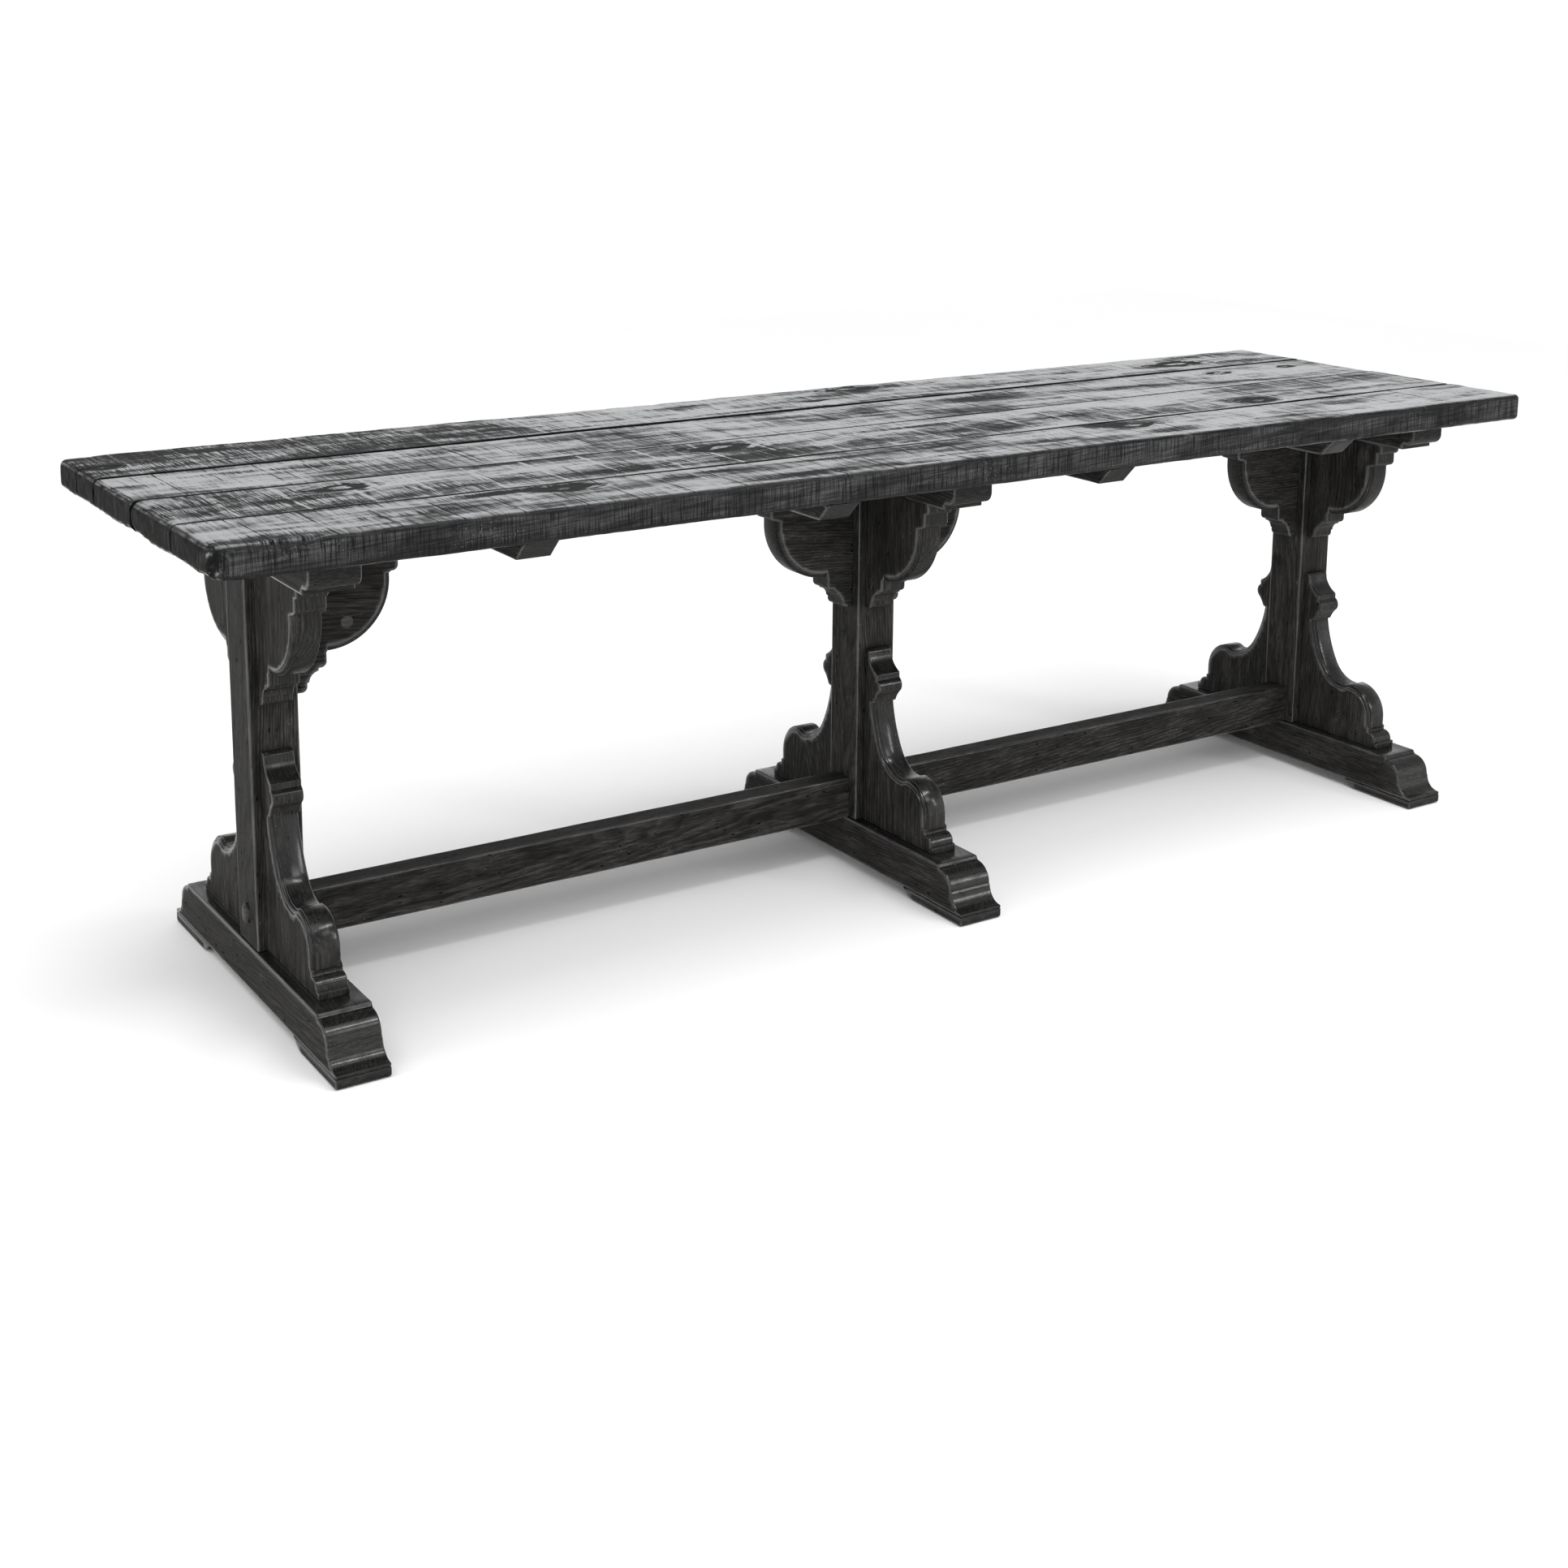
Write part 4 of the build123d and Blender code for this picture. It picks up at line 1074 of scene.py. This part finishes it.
# ---- Small pieces -------------------------------------------------------------------------------
def button(centre, facing, radii, proud, deep, dome, chamfer, seed):
    """A round or oval plug: a slightly domed face with a chamfered rim, and its side going in."""
    facing = Vector(facing)
    side = Vector((0, 0, 1)).cross(facing)
    rings = [(1.0, -deep), (1.0, proud - chamfer), (1.0 - 0.4 * chamfer / radii[0], proud - 0.4 * chamfer),
             (1.0 - chamfer / radii[0], proud)]
    rings += [(part, proud + dome * MM * (1 - part * part)) for part in (0.78, 0.55, 0.3)]
    count = 40
    points = [centre + facing * (proud + dome * MM)]
    for part, height in rings:
        for k in range(count):
            angle = 2 * math.pi * k / count
            dent = 1 + 0.012 * math.sin(3 * angle + seed) + 0.008 * math.sin(7 * angle + 2 * seed)
            away = side * radii[0] * math.cos(angle) + Vector((0, 0, 1)) * radii[1] * math.sin(angle)
            points.append(centre + away * part * dent + facing * height)
    faces = []
    for ring in range(len(rings) - 1):
        for k in range(count):
            j = (k + 1) % count
            first, second = 1 + ring * count, 1 + (ring + 1) * count
            faces.append([first + k, first + j, second + j, second + k])
    last = 1 + (len(rings) - 1) * count
    faces += [[last + k, last + (k + 1) % count, 0] for k in range(count)]
    faces.append([1 + k for k in reversed(range(count))])
    return points, faces


def buttons(name, wood, parts):
    """One piece made of several buttons."""
    points, faces = [], []
    for more_points, more_faces in parts:
        faces += [[k + len(points) for k in face] for face in more_faces]
        points += more_points
    points = np.array([tuple(point) for point in points])
    add_piece(name, points, faces, wood, [name], {}, sharp=35)


plug_low, plug_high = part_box("bracket_plug")
plug_centre = Vector(((plug_low.x + plug_high.x) / 2, plug_low.y, (plug_low.z + plug_high.z) / 2))
plug_radius = (plug_high.x - plug_low.x) / 2
buttons("bracket_plug", end_grain_plug("plug_end_grain", 0.002, 0.030), [
    button(plug_centre, (0, -1, 0), (plug_radius, plug_radius), proud=0.5 * MM, deep=14 * MM,
           dome=0.0, chamfer=0.5 * MM, seed=1),
])
peg_low, peg_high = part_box("stretcher_pegs")
peg_middle = (peg_low + peg_high) / 2
peg_radii = ((peg_high.y - peg_low.y) / 2 - 0.3 * MM, (peg_high.z - peg_low.z) / 2 - 0.3 * MM)
buttons("stretcher_pegs", end_grain_plug("peg_end_grain", 0.002, 0.018), [
    button(Vector((x, peg_middle.y, peg_middle.z)), (facing, 0, 0), peg_radii, proud=5.5 * MM,
           deep=20 * MM, dome=1.8, chamfer=2.2 * MM, seed=seed)
    for x, facing, seed in ((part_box("left_post")[0].x, -1, 2), (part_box("right_post")[1].x, 1, 5))
])
for names, kept_look in ((("foot_bracket_dowels", "upper_bracket_dowels"), beech()),
                        (("cleat_screws", "rail_screws", "pad_nails"), steel)):
    for name in names:
        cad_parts[name].data.materials.clear()
        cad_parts[name].data.materials.append(kept_look)


# ---- Stage, light and camera --------------------------------------------------------------------
def stage_floor():
    """A plain floor that ends out of sight in the white of the studio."""
    half = 7
    mesh = bpy.data.meshes.new("floor")
    corners = [(-half, -half, 0), (half, -half, 0), (half, half, 0), (-half, half, 0)]
    mesh.from_pydata(corners, [], [(0, 1, 2, 3)])
    mesh.materials.append(pale_floor())
    floor = add_object("floor", mesh)
    floor.location.z = -0.3 * MM


def studio():
    """White surroundings, dimmer overhead, with a ceiling light, three softboxes, two windows and a sky."""
    world = Shader(bpy.data.worlds.new("studio"), "Background")
    height = world.split(world.node("TexCoord", "Generated", {}))[2]
    world.set(Strength=world.band(height, 0.30, 0.62, 1.12, 0.35), Color=(1, 1, 1, 1))
    bpy.context.scene.world = world.owner
    target = Vector((0, 0, 0.45))
    for name, place, width, height, radiance in (
        ("ceiling", (0.2, 0.6, 3.3), 3.6, 0.5, 3.0),
        ("window", (-3.5, -0.6, 1.4), 0.14, 1.7, 14),
        ("second_window", (-3.3, -2.0, 1.2), 0.10, 1.5, 12),
        ("front", (0.7, -3.0, 2.9), 1.4, 0.8, 4),
        ("overhead", (0.5, -1.5, 2.9), 2.0, 0.14, 32),
        ("front_right", (2.4, -3.4, 2.2), 0.14, 1.6, 30),
    ):
        light = bpy.data.lights.new(name, "AREA")
        light.shape = "RECTANGLE"
        light.size, light.size_y = width, height
        light.energy = radiance * math.pi * width * height
        lamp = add_object(name, light)
        lamp.location = place
        lamp.rotation_euler = (target - Vector(place)).to_track_quat("-Z", "Y").to_euler()
    sky = bpy.data.lights.new("sky", "SUN")
    sky.energy = 1.75
    sky.angle = math.radians(60)
    add_object("sky", sky).rotation_euler = (math.radians(12), math.radians(-10), 0)


def camera():
    """Looks down a little on the front and the left end, with the lens slid down."""
    yaw, pitch, roll = 0.5742, -0.19, 0.0071
    look = Vector((math.sin(yaw) * math.cos(pitch), math.cos(yaw) * math.cos(pitch), math.sin(pitch)))
    right = Vector((math.cos(yaw), -math.sin(yaw), 0))
    up = right.cross(look)
    right, up = (
        math.cos(roll) * right + math.sin(roll) * up,
        -math.sin(roll) * right + math.cos(roll) * up,
    )
    data = bpy.data.cameras.new("camera")
    data.sensor_width = 36
    data.lens = 49.69
    data.shift_y = -0.1998
    data.clip_end = 100
    cam = add_object("camera", data)
    cam.matrix_world = Matrix((
        (right.x, up.x, -look.x, -2.0851),
        (right.y, up.y, -look.y, -2.9793),
        (right.z, up.z, -look.z, 1.3948),
        (0, 0, 0, 1),
    ))
    bpy.context.scene.camera = cam


stage_floor()
studio()
camera()
bpy.context.scene.view_settings.view_transform = "Standard"
